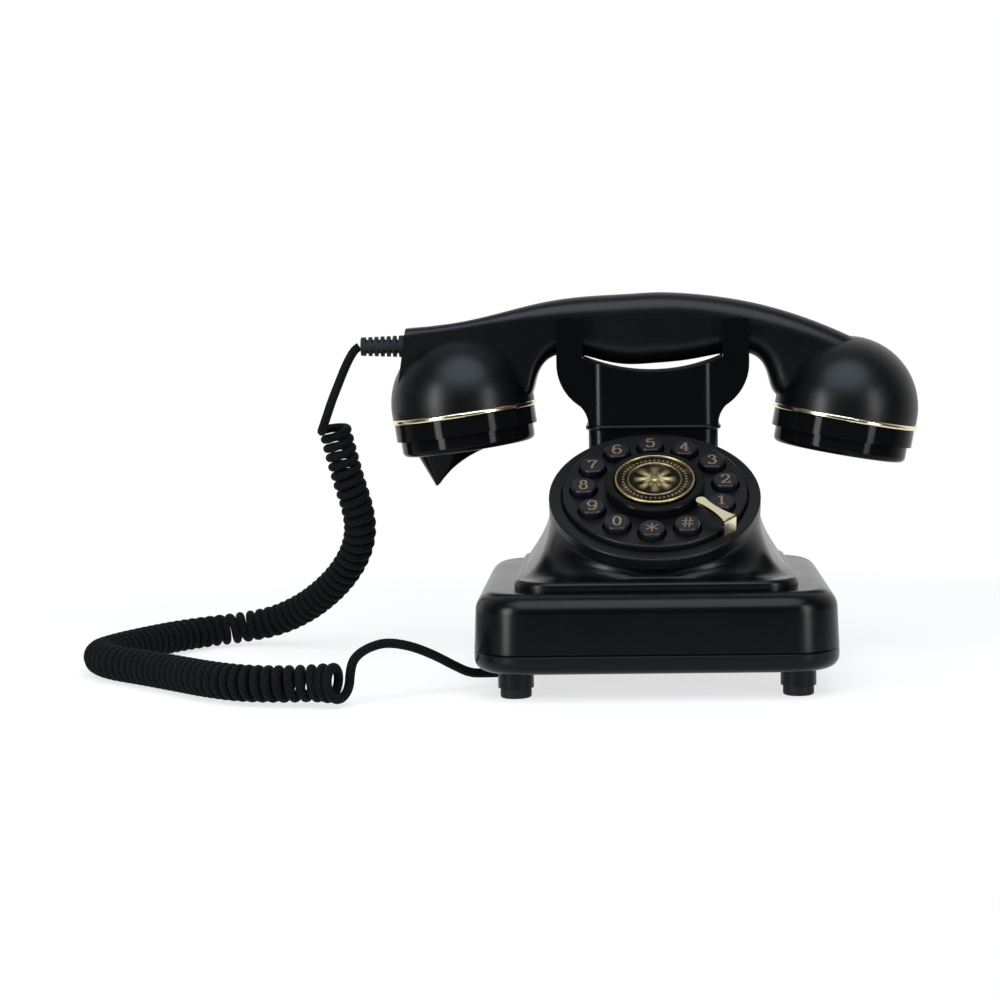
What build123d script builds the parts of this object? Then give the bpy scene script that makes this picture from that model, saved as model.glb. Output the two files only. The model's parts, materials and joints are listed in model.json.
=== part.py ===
from build123d import *
from math import atan2, cos, hypot, inf, pi, radians, sin, sqrt, tan
import os

# Desk telephone in the old table style, with push keys set out like a dial.
# Millimetres. Origin on the floor under the middle of the base.
# X points to the ear end of the handset, Y to the back, Z up.

# Base
base_width = 150.0
base_depth = 150.0
base_corner = 22.0
tray_height = 8.0
tray_wall = 3.0
tray_floor = 2.5
tray_edge_round = 5.0
parting_chamfer = 0.5
cover_height = 24.5
cover_draft = 2.5
cover_wall = 4.0
cover_roof = 4.0
cover_edge_round = 8.0

# Feet
foot_offset_x = 58.0
foot_offset_y = 55.0
foot_pad_radius = 6.4
foot_pad_height = 4.2
foot_boss_radius = 7.4
foot_boss_height = 7.3
foot_pad_round = 0.8

# Screws
case_screw_offset_x = 46.0
case_screw_offset_y = 58.0
case_screw_radius = 1.5
case_screw_length = 18.0
case_screw_head_radius = 3.0
case_screw_head_height = 2.0
case_post_radius = 4.5
case_counterbore_extra = 0.5
skirt_screw_offset_x = 44.0
skirt_screw_offset_y = 44.0
skirt_screw_length = 7.0
screw_clearance = 0.1

# Pedestal
skirt_width = 117.0
skirt_depth = 124.0
skirt_centre_y = -2.0
skirt_corner = 16.0
skirt_lip_height = 4.0
skirt_lip_round = 1.9
skirt_step = 2.2
flare_corner = 14.0
flare_power = 2.6
flare_shares = (0, 0.3, 0.6, 1)
flare_round_share = 0.995
neck_width = 57.0
neck_depth = 40.0
neck_corner = 7.0
neck_top = 104.9
neck_foot_width = 82.0
neck_foot_depth = 46.0
neck_foot_height = 26.0
bead_height = 2.2
bead_proud = 1.3
bead_round = 1.0

# Dial
dial_centre_y = -22.0
dial_centre_z = 80.0
dial_tilt = 31.5
bezel_radius = 44.75
bezel_height = 5.0
bezel_opening_radius = 39.2
bezel_ledge_radius = 37.6
bezel_edge_round = 0.8
plate_thickness = 4.0
plate_rise = 2.5
plate_edge_round = 0.7
plate_side_gap = 0.2
key_ring_radius = 30.0
key_first_angle = 93.0
key_step = 29.0
key_radius = 5.4
key_hole_radius = 6.2
key_stand = 3.0
key_edge_round = 0.9
key_flange_radius = 6.8
key_flange_thickness = 1.2
key_flange_gap = 0.3
key_travel = 1.2
key_stop_gap = 0.15
membrane_thickness = 1.5
membrane_pad_radius = 4.0
membrane_pad_height = 0.3
keypad_board_thickness = 1.6
keypad_radius = 37.2

# Centre button
collar_radius = 21.0
collar_spigot_radius = 20.0
collar_bore_radius = 17.6
collar_stand = 4.8
collar_spigot_depth = 3.0
collar_edge_round = 1.0
medallion_radius = 17.0
medallion_thickness = 2.6
medallion_rim_width = 1.6
medallion_field_drop = 0.6
carrier_radius = 16.4
carrier_height = 6.6
rocker_pin_radius = 1.1
rocker_pin_clearance = 0.06
rocker_pin_end_gap = 0.6

# Finger stop
stop_inner_radius = 25.0
stop_inner_angle = -40.3
stop_outer_radius = 42.4
stop_outer_angle = -43.6
stop_tip_width = 4.4
stop_waist_width = 3.4
stop_heel_width = 6.6
stop_thickness = 1.4
stop_height = 8.9
stop_waist_share = 0.55
stop_bend_round = 1.1

# Cradle
cradle_saddle_z = 130.3
cradle_saddle_end_z = 136.6
prong_inner_x = 30.6
prong_outer_x = 42.2
prong_top = 153.5
prong_round = 1.2
fork_depth = 38.0
fork_channel = 28.6
fork_floor_z = 136.4
shoulder_top_z = 134.0
shoulder_in_x = 32.0
shoulder_in_z = 115.5

# Hook switch
hook_post_inner_x = 33.4
hook_post_outer_x = 37.0
hook_post_foot_z = 124.0
hook_depth = 8.0
hook_bar_z = 112.0
hook_bar_height = 4.0
hook_bar_half = 24.0
hook_stem_radius = 1.6
hook_stem_foot_z = 98.3
hook_travel = 4.0
hook_gap = 0.4
hook_spring_radius = 4.0
hook_spring_wall = 1.0
switch_width = 20.0
switch_depth = 6.5
switch_height = 10.0

# Handset
handset_y = 37.0
handset_lift_gap = 0.3
handle_depth = 27.0
handle_round = 9.0
handle_top_z = 165.0
handle_belly_z = 133.7
handle_grip_z = 138.0
handle_grip_x = 33.0
handle_throat_x = 44.0
handle_throat_z = 137.2
handle_bend_x = 50.6
handle_bend_z = 130.4
handle_root_x = 53.6
handle_root_z = 121.0
handle_left_tops = ((-35.0, 163.0), (-52.0, 160.3), (-68.0, 156.4), (-86.0, 152.6))
handle_left_rounds = (8.5, 7.0, 5.0, 4.0)
handle_right_tops = ((33.0, 162.3), (51.0, 158.5), (71.0, 152.0), (89.0, 144.2))
handle_block_top = (-99.0, 150.9)
handle_ear_top = (101.0, 138.3)
mouth_cup_x = 84.3
mouth_ring_z = 113.7
mouth_tilt = 7.8
ear_cup_x = 85.8
ear_ring_z = 110.1
ear_tilt = 10.2
dome_radius = 31.8
dome_rise = 3.0
trim_radius = 32.4
trim_inner_radius = 30.4
trim_height = 2.1
trim_round = 0.7
cap_radius = 31.5
cap_step_radius = 29.7
cap_upper_height = 7.8
cap_lower_height = 7.2
cap_edge_round = 2.4
cap_wall = 3.0
cap_face_dish = 1.2
capsule_radius = 20.0
capsule_height = 7.0
sound_hole_radius = 1.1
sound_ring_radius = 6.0
sound_ring_count = 6
sound_outer_radius = 12.0
sound_outer_count = 12

# Handset block, boot and horn
block_round = 4.0
block_end_x = 108.6
block_end_z = 150.2
block_foot_x = 113.4
block_foot_z = 116.0
boot_z = 142.2
boot_length = 19.0
boot_root_radius = 4.9
boot_end_radius = 4.1
boot_spigot_radius = 3.0
boot_spigot_length = 6.0
boot_rib_count = 6
boot_groove_width = 1.3
boot_groove_depth = 1.0
boot_web = 3.0
horn_root_outer_x = 24.0
horn_root_inner_x = 13.0
horn_root_half_depth = 15.0
horn_tip_x = 16.0
horn_tip_drop = 14.4
horn_tip_half_depth = 5.0
horn_tip_width = 3.0
horn_arc_rise = 10.5
horn_arc_x = -1.5
horn_wall = 2.0

# Parts inside the base and its sockets
board_width = 100.0
board_depth = 60.0
board_thickness = 1.6
board_y = 22.0
board_post_radius = 3.5
board_post_height = 4.0
board_post_inset = 6.0
speaker_radius = 20.0
speaker_height = 9.0
speaker_y = -38.0
speaker_hole_radius = 1.3
speaker_hole_rings = (6.0, 12.0)
speaker_hole_counts = (6, 12)
weight_width = 34.0
weight_depth = 38.0
weight_height = 6.0
weight_side_gap = 4.0
weight_y = -30.0
jack_x = 28.0
jack_z = 29.0
jack_width = 15.0
jack_height = 13.0
jack_depth = 16.0
jack_face_set_back = 0.5
socket_width = 10.0
socket_height = 7.0
socket_depth = 12.0
ringer_x = -28.0
ringer_z = 29.0
ringer_body_width = 16.0
ringer_body_height = 9.0
ringer_body_depth = 7.0
ringer_knob_width = 4.0
ringer_knob_height = 4.0
ringer_knob_stand = 0.4
ringer_slot_width = 9.0
ringer_travel = 4.0
ringer_gap = 0.3
cutout_clearance = 0.15

# Curly cord, from the boot over the floor to the holder under the tray
cord_diameter = 3.6
cord_sides = 6
boot_cord_gap = 1.0
curl_radius = 5.4
curl_gap = 0.62
curl_route = [
    (-141.6, 37, 103.5), (-139.4, 38.6, 93.5), (-136.8, 41.2, 82), (-133.8, 45.4, 70.4), (-132.8, 50, 59.6),
    (-135.6, 55.8, 48.9), (-142.2, 62.8, 38.2), (-151.8, 71.8, 28), (-164, 82.2, 18.6), (-178.8, 91.4, 11.2),
    (-194.6, 95, 7.9), (-209.4, 88.6, 7.4), (-222, 73.8, 7.4), (-232.8, 54.6, 7.4), (-241.6, 35.4, 7.4),
    (-246, 15, 7.4), (-235.6, -4, 7.4), (-218, -19, 7.4), (-200.4, -36.2, 7.4), (-184.2, -54.6, 7.4),
    (-168.4, -68.4, 7.4), (-152.6, -74.6, 8), (-139.6, -76.2, 8.6), (-127, -76, 8.8),
]
handset_lead = [(-135.4, 36.2, 140.5), (-140.2, 33.6, 135.4), (-143, 29.6, 128.6), (-145, 24.8, 122.2),
                (-146.6, 20.8, 115.9), (-147.5, 20, 109.9), (-147.8, 22.7, 104.6), (-147.74, 27.66, 101.88)]
base_lead = [(-126.13, -69.97, 17.5), (-123.4, -68.3, 21.2), (-118.8, -65.4, 23.6), (-111.4, -61, 24.9),
             (-101.6, -55.6, 23), (-92.4, -50, 18.6), (-84.4, -43.6, 13.2), (-78.4, -36, 8.4), (-72.2, -31.8, 6.5)]
lead_share = 0.45
steered_steps = 40
curl_fine_steps = 24
gap_samples = 6
gap_window = 60
gap_skip = 3.0
same_way = 1e-9
gland_x = -65.0
gland_y = -31.0
gland_z = 6.2
gland_radius = 4.6
gland_length = 13.0
gland_block_width = 9.0

# Heights and planes worked out from the sizes above
tray_bottom = foot_pad_height + foot_boss_height
tray_floor_top = tray_bottom + tray_floor
parting_z = tray_bottom + tray_height
cover_top = parting_z + cover_height
cover_ceiling = cover_top - cover_roof
skirt_top = cover_top + skirt_lip_height
cradle_foot_z = neck_top + bead_height
weight_x = base_width / 2 - tray_wall - tray_edge_round - weight_side_gap - weight_width / 2
plate_top = plate_rise
plate_bottom = plate_top - plate_thickness
key_top = plate_top + key_stand
key_flange_top = plate_bottom - key_flange_gap
key_flange_bottom = key_flange_top - key_flange_thickness
membrane_top = key_flange_bottom - key_travel - key_stop_gap - membrane_pad_height
membrane_bottom = membrane_top - membrane_thickness
keypad_bottom = membrane_bottom - keypad_board_thickness
cup_face_z = -(trim_height + cap_upper_height + cap_lower_height)
key_names = ("5", "6", "7", "8", "9", "0", "star", "hash", "1", "2", "3", "4")
key_gap_index = 8
key_angles = [key_first_angle + key_step * turn for turn in range(len(key_names))]

dial_normal = (0, -sin(radians(dial_tilt)), cos(radians(dial_tilt)))
dial_plane = Plane((0, dial_centre_y, dial_centre_z), x_dir=(1, 0, 0), z_dir=dial_normal)
front_plane = Plane((0, handset_y, 0), x_dir=(1, 0, 0), z_dir=(0, -1, 0))
mouth_lean = radians(mouth_tilt)
ear_lean = radians(ear_tilt)
mouth_plane = Plane((-mouth_cup_x, handset_y, mouth_ring_z), x_dir=(cos(mouth_lean), 0, sin(mouth_lean)),
                    z_dir=(-sin(mouth_lean), 0, cos(mouth_lean)))
ear_plane = Plane((ear_cup_x, handset_y, ear_ring_z), x_dir=(cos(ear_lean), 0, -sin(ear_lean)),
                  z_dir=(sin(ear_lean), 0, cos(ear_lean)))


def corners(offset_x, offset_y):
    """Four places set out evenly about the middle of the base."""
    return [(sx * offset_x, sy * offset_y) for sx in (-1, 1) for sy in (-1, 1)]


def upright(radius, low, high, place=(0, 0)):
    """A round bar standing between two heights."""
    bar = Cylinder(radius, high - low, align=(Align.CENTER, Align.CENTER, Align.MIN))
    return Pos(place[0], place[1], low) * bar


def block(width, depth, low, high, place=(0, 0)):
    """A square bar standing between two heights."""
    bar = Box(width, depth, high - low, align=(Align.CENTER, Align.CENTER, Align.MIN))
    return Pos(place[0], place[1], low) * bar


def rounded_block(width, depth, corner, low, high, place=(0, 0), draft=0.0):
    """A bar with rounded upright corners, drawn in by a draft angle as it rises."""
    bar = extrude(RectangleRounded(width, depth, corner), high - low, taper=draft)
    return Pos(place[0], place[1], low) * bar


def make_base_tray():
    """Lower shell with foot bosses, screw bosses and the ringer's sound holes."""
    tray = rounded_block(base_width, base_depth, base_corner, tray_bottom, parting_z)
    tray = fillet(tray.faces().sort_by(Axis.Z)[0].edges(), tray_edge_round)
    tray = chamfer(tray.faces().sort_by(Axis.Z)[-1].edges(), parting_chamfer)
    inner_width = base_width - 2 * tray_wall
    inner_depth = base_depth - 2 * tray_wall
    room_corner = base_corner - tray_wall
    tray -= rounded_block(inner_width, inner_depth, room_corner, tray_floor_top + tray_edge_round - tray_floor,
                          parting_z)
    shallow = tray_edge_round
    tray -= rounded_block(inner_width - 2 * shallow, inner_depth - 2 * shallow, room_corner - shallow,
                          tray_floor_top, parting_z)
    for place in corners(foot_offset_x, foot_offset_y):
        tray += upright(foot_boss_radius, foot_pad_height, tray_floor_top, place)
    for place in corners(case_screw_offset_x, case_screw_offset_y):
        tray += upright(case_post_radius, tray_bottom, parting_z, place)
        tray -= upright(case_screw_radius + screw_clearance, tray_bottom, parting_z, place)
        tray -= upright(case_screw_head_radius + case_counterbore_extra, tray_bottom,
                        tray_bottom + case_screw_head_height, place)
    for place in board_posts():
        tray += upright(board_post_radius, tray_floor_top, tray_floor_top + board_post_height, place)
    for ring, count in zip(speaker_hole_rings, speaker_hole_counts):
        for spot in PolarLocations(ring, count):
            tray -= Pos(0, speaker_y) * spot * upright(speaker_hole_radius, tray_bottom, tray_floor_top)
    return tray


def board_posts():
    """Places of the four posts that carry the main board."""
    reach_x = board_width / 2 - board_post_inset
    reach_y = board_depth / 2 - board_post_inset
    return [(x, y + board_y) for x, y in corners(reach_x, reach_y)]


def make_feet():
    """Four soft pads under the foot bosses."""
    pads = []
    for place in corners(foot_offset_x, foot_offset_y):
        pad = upright(foot_pad_radius, 0, foot_pad_height, place)
        pads.append(fillet(pad.faces().sort_by(Axis.Z)[0].edges(), foot_pad_round))
    return Compound(children=pads)


def make_base_cover():
    """Upper shell of the base, drawn in as it rises, with a soft top edge."""
    cover = rounded_block(base_width, base_depth, base_corner, parting_z, cover_top, draft=cover_draft)
    cover = fillet(cover.faces().sort_by(Axis.Z)[-1].edges(), cover_edge_round)
    cover = chamfer(cover.faces().sort_by(Axis.Z)[0].edges(), parting_chamfer)
    cover -= rounded_block(base_width - 2 * cover_wall, base_depth - 2 * cover_wall, base_corner - cover_wall,
                           parting_z, cover_ceiling, draft=cover_draft)
    for place in corners(case_screw_offset_x, case_screw_offset_y):
        cover += upright(case_post_radius, parting_z, cover_ceiling, place)
        cover -= upright(case_screw_radius, parting_z, tray_bottom + case_screw_head_height + case_screw_length, place)
    for place in corners(skirt_screw_offset_x, skirt_screw_offset_y):
        cover -= upright(case_screw_radius + screw_clearance, cover_ceiling, cover_top, place)
    wall_cut = base_depth / 2 - jack_depth
    jack_hole = block(jack_width + 2 * cutout_clearance, 2 * jack_depth, jack_z - jack_height / 2 - cutout_clearance,
                      jack_z + jack_height / 2 + cutout_clearance)
    cover -= Pos(jack_x, wall_cut + jack_depth, 0) * jack_hole
    slot = block(ringer_slot_width, 2 * jack_depth, ringer_z - ringer_knob_height / 2 - ringer_gap,
                 ringer_z + ringer_knob_height / 2 + ringer_gap)
    cover -= Pos(ringer_x, wall_cut + jack_depth, 0) * slot
    return cover


def make_case_screws():
    """Four screws that hold the tray to the cover."""
    screws = []
    for place in corners(case_screw_offset_x, case_screw_offset_y):
        head_top = tray_bottom + case_screw_head_height
        shank = upright(case_screw_radius, head_top, head_top + case_screw_length, place)
        screws.append(shank + upright(case_screw_head_radius, tray_bottom, head_top, place))
    return Compound(children=screws)


def make_skirt_screws():
    """Four screws from inside the base that hold the pedestal."""
    screws = []
    for place in corners(skirt_screw_offset_x, skirt_screw_offset_y):
        shank = upright(case_screw_radius, cover_ceiling, cover_ceiling + skirt_screw_length, place)
        head = upright(case_screw_head_radius, cover_ceiling - case_screw_head_height, cover_ceiling, place)
        screws.append(shank + head)
    return Compound(children=screws)


def flare_section(share):
    """Outline of the pedestal part of the way from the square skirt to the round dial."""
    left = (1 - share) ** flare_power
    seat = dial_plane.offset(-bezel_height).origin
    centre = Vector(0, skirt_centre_y, skirt_top) * (1 - share) + seat * share
    tilt = radians(dial_tilt * share)
    plane = Plane(centre, x_dir=(1, 0, 0), z_dir=(0, -sin(tilt), cos(tilt)))
    wide = bezel_radius + (skirt_width / 2 - skirt_step - bezel_radius) * left
    deep = bezel_radius + (skirt_depth / 2 - skirt_step - bezel_radius) * left
    corner = flare_corner + (bezel_radius - flare_corner) * sqrt(share)
    corner = min(corner, min(wide, deep) * flare_round_share)
    return plane * RectangleRounded(2 * wide, 2 * deep, corner)


def make_pedestal():
    """Skirt, concave flare, dial drum and the neck that carries the cradle."""
    lip = rounded_block(skirt_width, skirt_depth, skirt_corner, cover_top, skirt_top, (0, skirt_centre_y))
    lip = fillet(lip.faces().sort_by(Axis.Z)[-1].edges(), skirt_lip_round)
    flare = loft([flare_section(share) for share in flare_shares])
    neck = rounded_block(neck_width, neck_depth, neck_corner, cover_top, neck_top, (0, handset_y))
    foot_y = skirt_centre_y + skirt_depth / 2 - skirt_step - neck_foot_depth / 2
    neck_foot = loft([
        Plane((0, foot_y, skirt_top)) * RectangleRounded(neck_foot_width, neck_foot_depth, neck_corner),
        Plane((0, handset_y, skirt_top + neck_foot_height)) * RectangleRounded(neck_width, neck_depth, neck_corner),
    ])
    bead = rounded_block(neck_width + 2 * bead_proud, neck_depth + 2 * bead_proud, neck_corner + bead_proud,
                         neck_top, cradle_foot_z, (0, handset_y))
    bead = fillet(bead.edges().filter_by(Plane.XY), bead_round)
    body = lip + flare + neck + neck_foot + bead
    body -= dial_plane * upright(bezel_radius, -bezel_height, bezel_radius)
    body -= dial_plane * upright(bezel_ledge_radius, keypad_bottom, bezel_radius)
    for place in corners(skirt_screw_offset_x, skirt_screw_offset_y):
        body -= upright(case_screw_radius, cover_top, cover_ceiling + skirt_screw_length, place)
    body -= block(switch_width + 2 * cutout_clearance, switch_depth + 2 * cutout_clearance,
                  hook_stem_foot_z - hook_gap - switch_height, neck_top - bead_height, (0, handset_y))
    body -= upright(hook_stem_radius + hook_gap, hook_stem_foot_z - hook_gap, cradle_foot_z, (0, handset_y))
    return body


def make_bezel():
    """Ring round the dial, with a ledge inside that carries the face plate."""
    ring = upright(bezel_radius, -bezel_height, 0)
    ring -= upright(bezel_opening_radius, plate_bottom, 0)
    ring -= upright(bezel_ledge_radius, -bezel_height, plate_bottom)
    rims = ring.edges().filter_by(GeomType.CIRCLE).group_by(Axis.Z)[-1]
    return dial_plane * fillet(rims, bezel_edge_round)


def key_places():
    """Centres of the keys on the face plate, in the order of key_names."""
    spots = []
    for index, angle in enumerate(key_angles):
        turn = radians(angle if index < key_gap_index else angle + 360 - len(key_names) * key_step)
        spots.append((key_ring_radius * cos(turn), key_ring_radius * sin(turn)))
    return spots


def make_face_plate():
    """Round plate with a well for each key and an opening for the collar."""
    plate = upright(bezel_opening_radius - plate_side_gap, plate_bottom, plate_top)
    plate = fillet(plate.edges().group_by(Axis.Z)[-1], plate_edge_round)
    plate -= upright(collar_spigot_radius, plate_bottom, plate_top)
    for spot in key_places():
        plate -= upright(key_hole_radius, plate_bottom, plate_top, spot)
    return dial_plane * plate


def make_collar():
    """Raised ring round the centre button, with a bearing hole on each side."""
    ring = upright(collar_radius, plate_top, plate_top + collar_stand)
    ring = fillet(ring.edges().group_by(Axis.Z)[-1], collar_edge_round)
    ring += upright(collar_spigot_radius, plate_top - collar_spigot_depth, plate_top)
    ring -= upright(collar_bore_radius, plate_top - collar_spigot_depth, plate_top + collar_stand)
    pin_z = plate_top - collar_spigot_depth / 2
    bearing = Cylinder(rocker_pin_radius + rocker_pin_clearance, 4 * collar_radius, rotation=(0, 90, 0))
    return dial_plane * (ring - Pos(0, 0, pin_z) * bearing)


def make_rocker_pin():
    """Pin that the centre button rocks on."""
    reach = collar_spigot_radius - rocker_pin_end_gap
    pin = Cylinder(rocker_pin_radius, 2 * reach, rotation=(0, 90, 0))
    return dial_plane * (Pos(0, 0, plate_top - collar_spigot_depth / 2) * pin)


def carrier_top():
    """Height of the seat under the medallion."""
    return plate_top - collar_spigot_depth + carrier_height


def make_rocker_carrier():
    """Moulded cup under the medallion that takes the pin."""
    cup = upright(carrier_radius, carrier_top() - carrier_height, carrier_top())
    bore = Cylinder(rocker_pin_radius, 4 * carrier_radius, rotation=(0, 90, 0))
    return dial_plane * (cup - Pos(0, 0, plate_top - collar_spigot_depth / 2) * bore)


def make_medallion():
    """Metal disc with a raised rim that faces the centre button."""
    disc = upright(medallion_radius, carrier_top(), carrier_top() + medallion_thickness)
    disc = fillet(disc.edges().group_by(Axis.Z)[-1], medallion_rim_width / 2)
    field = medallion_radius - medallion_rim_width
    top = carrier_top() + medallion_thickness
    return dial_plane * (disc - upright(field, top - medallion_field_drop, top))


def make_key(spot):
    """Round key with a soft edge and a flange that the face plate holds back."""
    cap = upright(key_radius, key_flange_top, key_top, spot)
    cap = fillet(cap.edges().group_by(Axis.Z)[-1], key_edge_round)
    return dial_plane * (cap + upright(key_flange_radius, key_flange_bottom, key_flange_top, spot))


def make_membrane():
    """Rubber sheet under the keys, with a pad below each one."""
    sheet = upright(keypad_radius, membrane_bottom, membrane_top)
    for spot in key_places():
        sheet += upright(membrane_pad_radius, membrane_top, membrane_top + membrane_pad_height, spot)
    return dial_plane * sheet


def make_keypad_board():
    """Contact board under the rubber sheet."""
    return dial_plane * upright(keypad_radius, keypad_bottom, membrane_bottom)


def make_finger_stop():
    """Bent metal finger: a waisted bar with a heel that stands on the bezel."""
    tip = Vector(stop_inner_radius, 0).rotate(Axis.Z, stop_inner_angle)
    heel = Vector(stop_outer_radius, 0).rotate(Axis.Z, stop_outer_angle)
    along = heel - tip
    length = along.length
    waist = length * stop_waist_share
    bar_plane = Plane((tip.X, tip.Y, 0), x_dir=(along.X, along.Y, 0), z_dir=(0, 0, 1))
    outline = [
        Spline((0, stop_tip_width / 2), (waist, stop_waist_width / 2), (length, stop_heel_width / 2)),
        Line((length, stop_heel_width / 2), (length, -stop_heel_width / 2)),
        Spline((length, -stop_heel_width / 2), (waist, -stop_waist_width / 2), (0, -stop_tip_width / 2)),
        ThreePointArc((0, -stop_tip_width / 2), (-stop_tip_width / 2, 0), (0, stop_tip_width / 2)),
    ]
    bar = Pos(0, 0, stop_height - stop_thickness) * extrude(make_face(outline), stop_thickness)
    leg = Pos(length - stop_thickness / 2, 0, 0) * block(stop_thickness, stop_heel_width, 0, stop_height)
    stop = bar + leg
    bend = stop.edges().filter_by(Axis.Y).group_by(Axis.Z)[-1].sort_by(Axis.X)[-1]
    stop = fillet(bend, stop_bend_round)
    return dial_plane * bar_plane * stop


def cradle_outline():
    """Front view of the fork: saddle, prongs and shoulders drawn in to the neck."""
    half = neck_width / 2
    edges = [ThreePointArc((-prong_inner_x, cradle_saddle_end_z), (0, cradle_saddle_z),
                           (prong_inner_x, cradle_saddle_end_z))]
    for side in (1, -1):
        edges.append(Polyline((side * prong_inner_x, cradle_saddle_end_z), (side * prong_inner_x, prong_top),
                              (side * prong_outer_x, prong_top), (side * prong_outer_x, shoulder_top_z)))
        shoulder = TangentArc((side * prong_outer_x, shoulder_top_z), (side * shoulder_in_x, shoulder_in_z),
                              tangent=(0, -1))
        edges.append(shoulder)
        edges.append(TangentArc((side * half, cradle_foot_z), (side * shoulder_in_x, shoulder_in_z),
                                tangent=(0, 1)))
    edges.append(Line((-half, cradle_foot_z), (half, cradle_foot_z)))
    return make_face(edges)


def hook_outline(rise):
    """Front view of the yoke, stretched upwards by a rise for the room that it moves in."""
    top = handle_underside(hook_post_outer_x) - handset_lift_gap
    right = [(hook_bar_half, hook_bar_z), (hook_post_outer_x, hook_post_foot_z), (hook_post_outer_x, top + rise),
             (hook_post_inner_x, top + rise), (hook_post_inner_x, hook_post_foot_z + hook_bar_height + rise),
             (hook_bar_half - hook_bar_height, hook_bar_z + hook_bar_height + rise)]
    left = [(-x, z) for x, z in reversed(right)]
    return make_face(Polyline(*right, *left, close=True))


def make_cradle():
    """Fork that holds the handset, with the hook yoke's room inside it."""
    column = rounded_block(neck_width, neck_depth, neck_corner, cradle_foot_z, cradle_saddle_end_z, (0, handset_y))
    span = hypot(prong_inner_x, cradle_saddle_end_z - cradle_saddle_z)
    saddle_radius = span ** 2 / (2 * (cradle_saddle_end_z - cradle_saddle_z))
    saddle = Cylinder(saddle_radius, 2 * neck_depth, rotation=(90, 0, 0))
    column -= Pos(0, handset_y, cradle_saddle_z + saddle_radius) * saddle
    fork = extrude(front_plane * cradle_outline(), fork_depth / 2, both=True)
    tips = fork.edges().filter_by(Axis.Y).group_by(Axis.Z)[-1]
    fork = fillet(tips, prong_round)
    fork -= block(2 * neck_width, fork_channel, fork_floor_z, 2 * prong_top, (0, handset_y))
    room = extrude(front_plane * offset(hook_outline(hook_travel), hook_gap, kind=Kind.INTERSECTION),
                   hook_depth / 2 + hook_gap, both=True)
    well = upright(hook_spring_radius + hook_gap, cradle_foot_z, hook_bar_z, (0, handset_y))
    return column + fork - room - well


def make_hook_yoke():
    """Yoke with a post under each end of the handle and a stem down to the switch."""
    yoke = extrude(front_plane * hook_outline(0), hook_depth / 2, both=True)
    return yoke + upright(hook_stem_radius, hook_stem_foot_z, hook_bar_z, (0, handset_y))


def make_hook_spring():
    """Return spring round the stem, between the neck and the yoke."""
    top = hook_bar_z - handset_lift_gap
    coil = upright(hook_spring_radius, cradle_foot_z, top, (0, handset_y))
    return coil - upright(hook_spring_radius - hook_spring_wall, cradle_foot_z, top, (0, handset_y))


def make_hook_switch():
    """Microswitch under the stem."""
    top = hook_stem_foot_z - hook_gap
    return block(switch_width, switch_depth, top - switch_height, top, (0, handset_y))


def handle_underside(x):
    """Height of the handle's underside where it lies on the cradle."""
    fall = (handle_grip_z - handle_throat_z) / (handle_throat_x - handle_grip_x)
    return handle_grip_z - (abs(x) - handle_grip_x) * fall


def handle_section(low, high, corner):
    """Rounded section of the handle across a line from its underside to its top, in front view."""
    rise = (high[0] - low[0], high[1] - low[1])
    middle = ((low[0] + high[0]) / 2, handset_y, (low[1] + high[1]) / 2)
    plane = Plane(middle, x_dir=(0, 1, 0), z_dir=(rise[1], 0, -rise[0]))
    return plane * RectangleRounded(handle_depth, hypot(*rise), corner)


def handle_sections():
    """Sections that fan from the cord end over the grip into the ear cup."""
    under = [(handle_grip_x, handle_grip_z), (handle_throat_x, handle_throat_z), (handle_bend_x, handle_bend_z),
             (handle_root_x, handle_root_z)]
    left = [((-x, z), top, corner) for (x, z), top, corner in zip(under, handle_left_tops, handle_left_rounds)]
    right = [((x, z), top, handle_round) for (x, z), top in zip(under, handle_right_tops)]
    mouth_in = mouth_cup_x - dome_radius / 2
    ear_in = ear_cup_x - dome_radius / 2
    mouth = [((-mouth_in, mouth_ring_z + 2 * dome_rise), handle_block_top, block_round)]
    ear = [((ear_in, ear_ring_z + 2 * dome_rise), handle_ear_top, handle_round)]
    middle = [((0, handle_belly_z), (0, handle_top_z), handle_round)]
    lines = mouth + left[::-1] + middle + right + ear
    return [handle_section(low, high, corner) for low, high, corner in lines]


def make_cord_end():
    """Square end of the handle, over the mouth cup, that takes the cord."""
    end = handle_section((-block_foot_x, block_foot_z), (-block_end_x, block_end_z), block_round)
    return loft([end, handle_sections()[0]], ruled=True)


def make_dome():
    """Rounded back of a cup, standing on the plane of its trim ring."""
    shoulder = Line((dome_radius, 0), (dome_radius, dome_rise))
    crown = RadiusArc((dome_radius, dome_rise), (0, dome_rise + dome_radius), -dome_radius)
    face = make_face([shoulder, crown, Polyline((0, dome_rise + dome_radius), (0, 0), (dome_radius, 0))])
    return revolve(Plane.XZ * face, Axis.Z)


def make_handset_shell():
    """Handle with the two domed cups and the square block that takes the cord."""
    shell = loft(handle_sections()) + make_cord_end() + mouth_plane * make_dome() + ear_plane * make_dome()
    bore = Cylinder(boot_spigot_radius, 2 * boot_spigot_length, rotation=(0, 90, 0))
    return shell - Pos(-boot_root_x(), handset_y, boot_z) * bore


def boot_root_x():
    """Distance of the boot's root from the middle, clear of the sloping end of the cord block."""
    slope = (block_foot_x - block_end_x) / (block_end_z - block_foot_z)
    return block_end_x + (block_end_z - boot_z + boot_root_radius) * slope


def make_trim_ring():
    """Bright ring between a dome and its cap."""
    ring = upright(trim_radius, -trim_height, 0) - upright(trim_inner_radius, -trim_height, 0)
    rims = ring.edges().filter_by(GeomType.CIRCLE).sort_by(SortBy.RADIUS)[-2:]
    return fillet(rims, trim_round)


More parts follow.
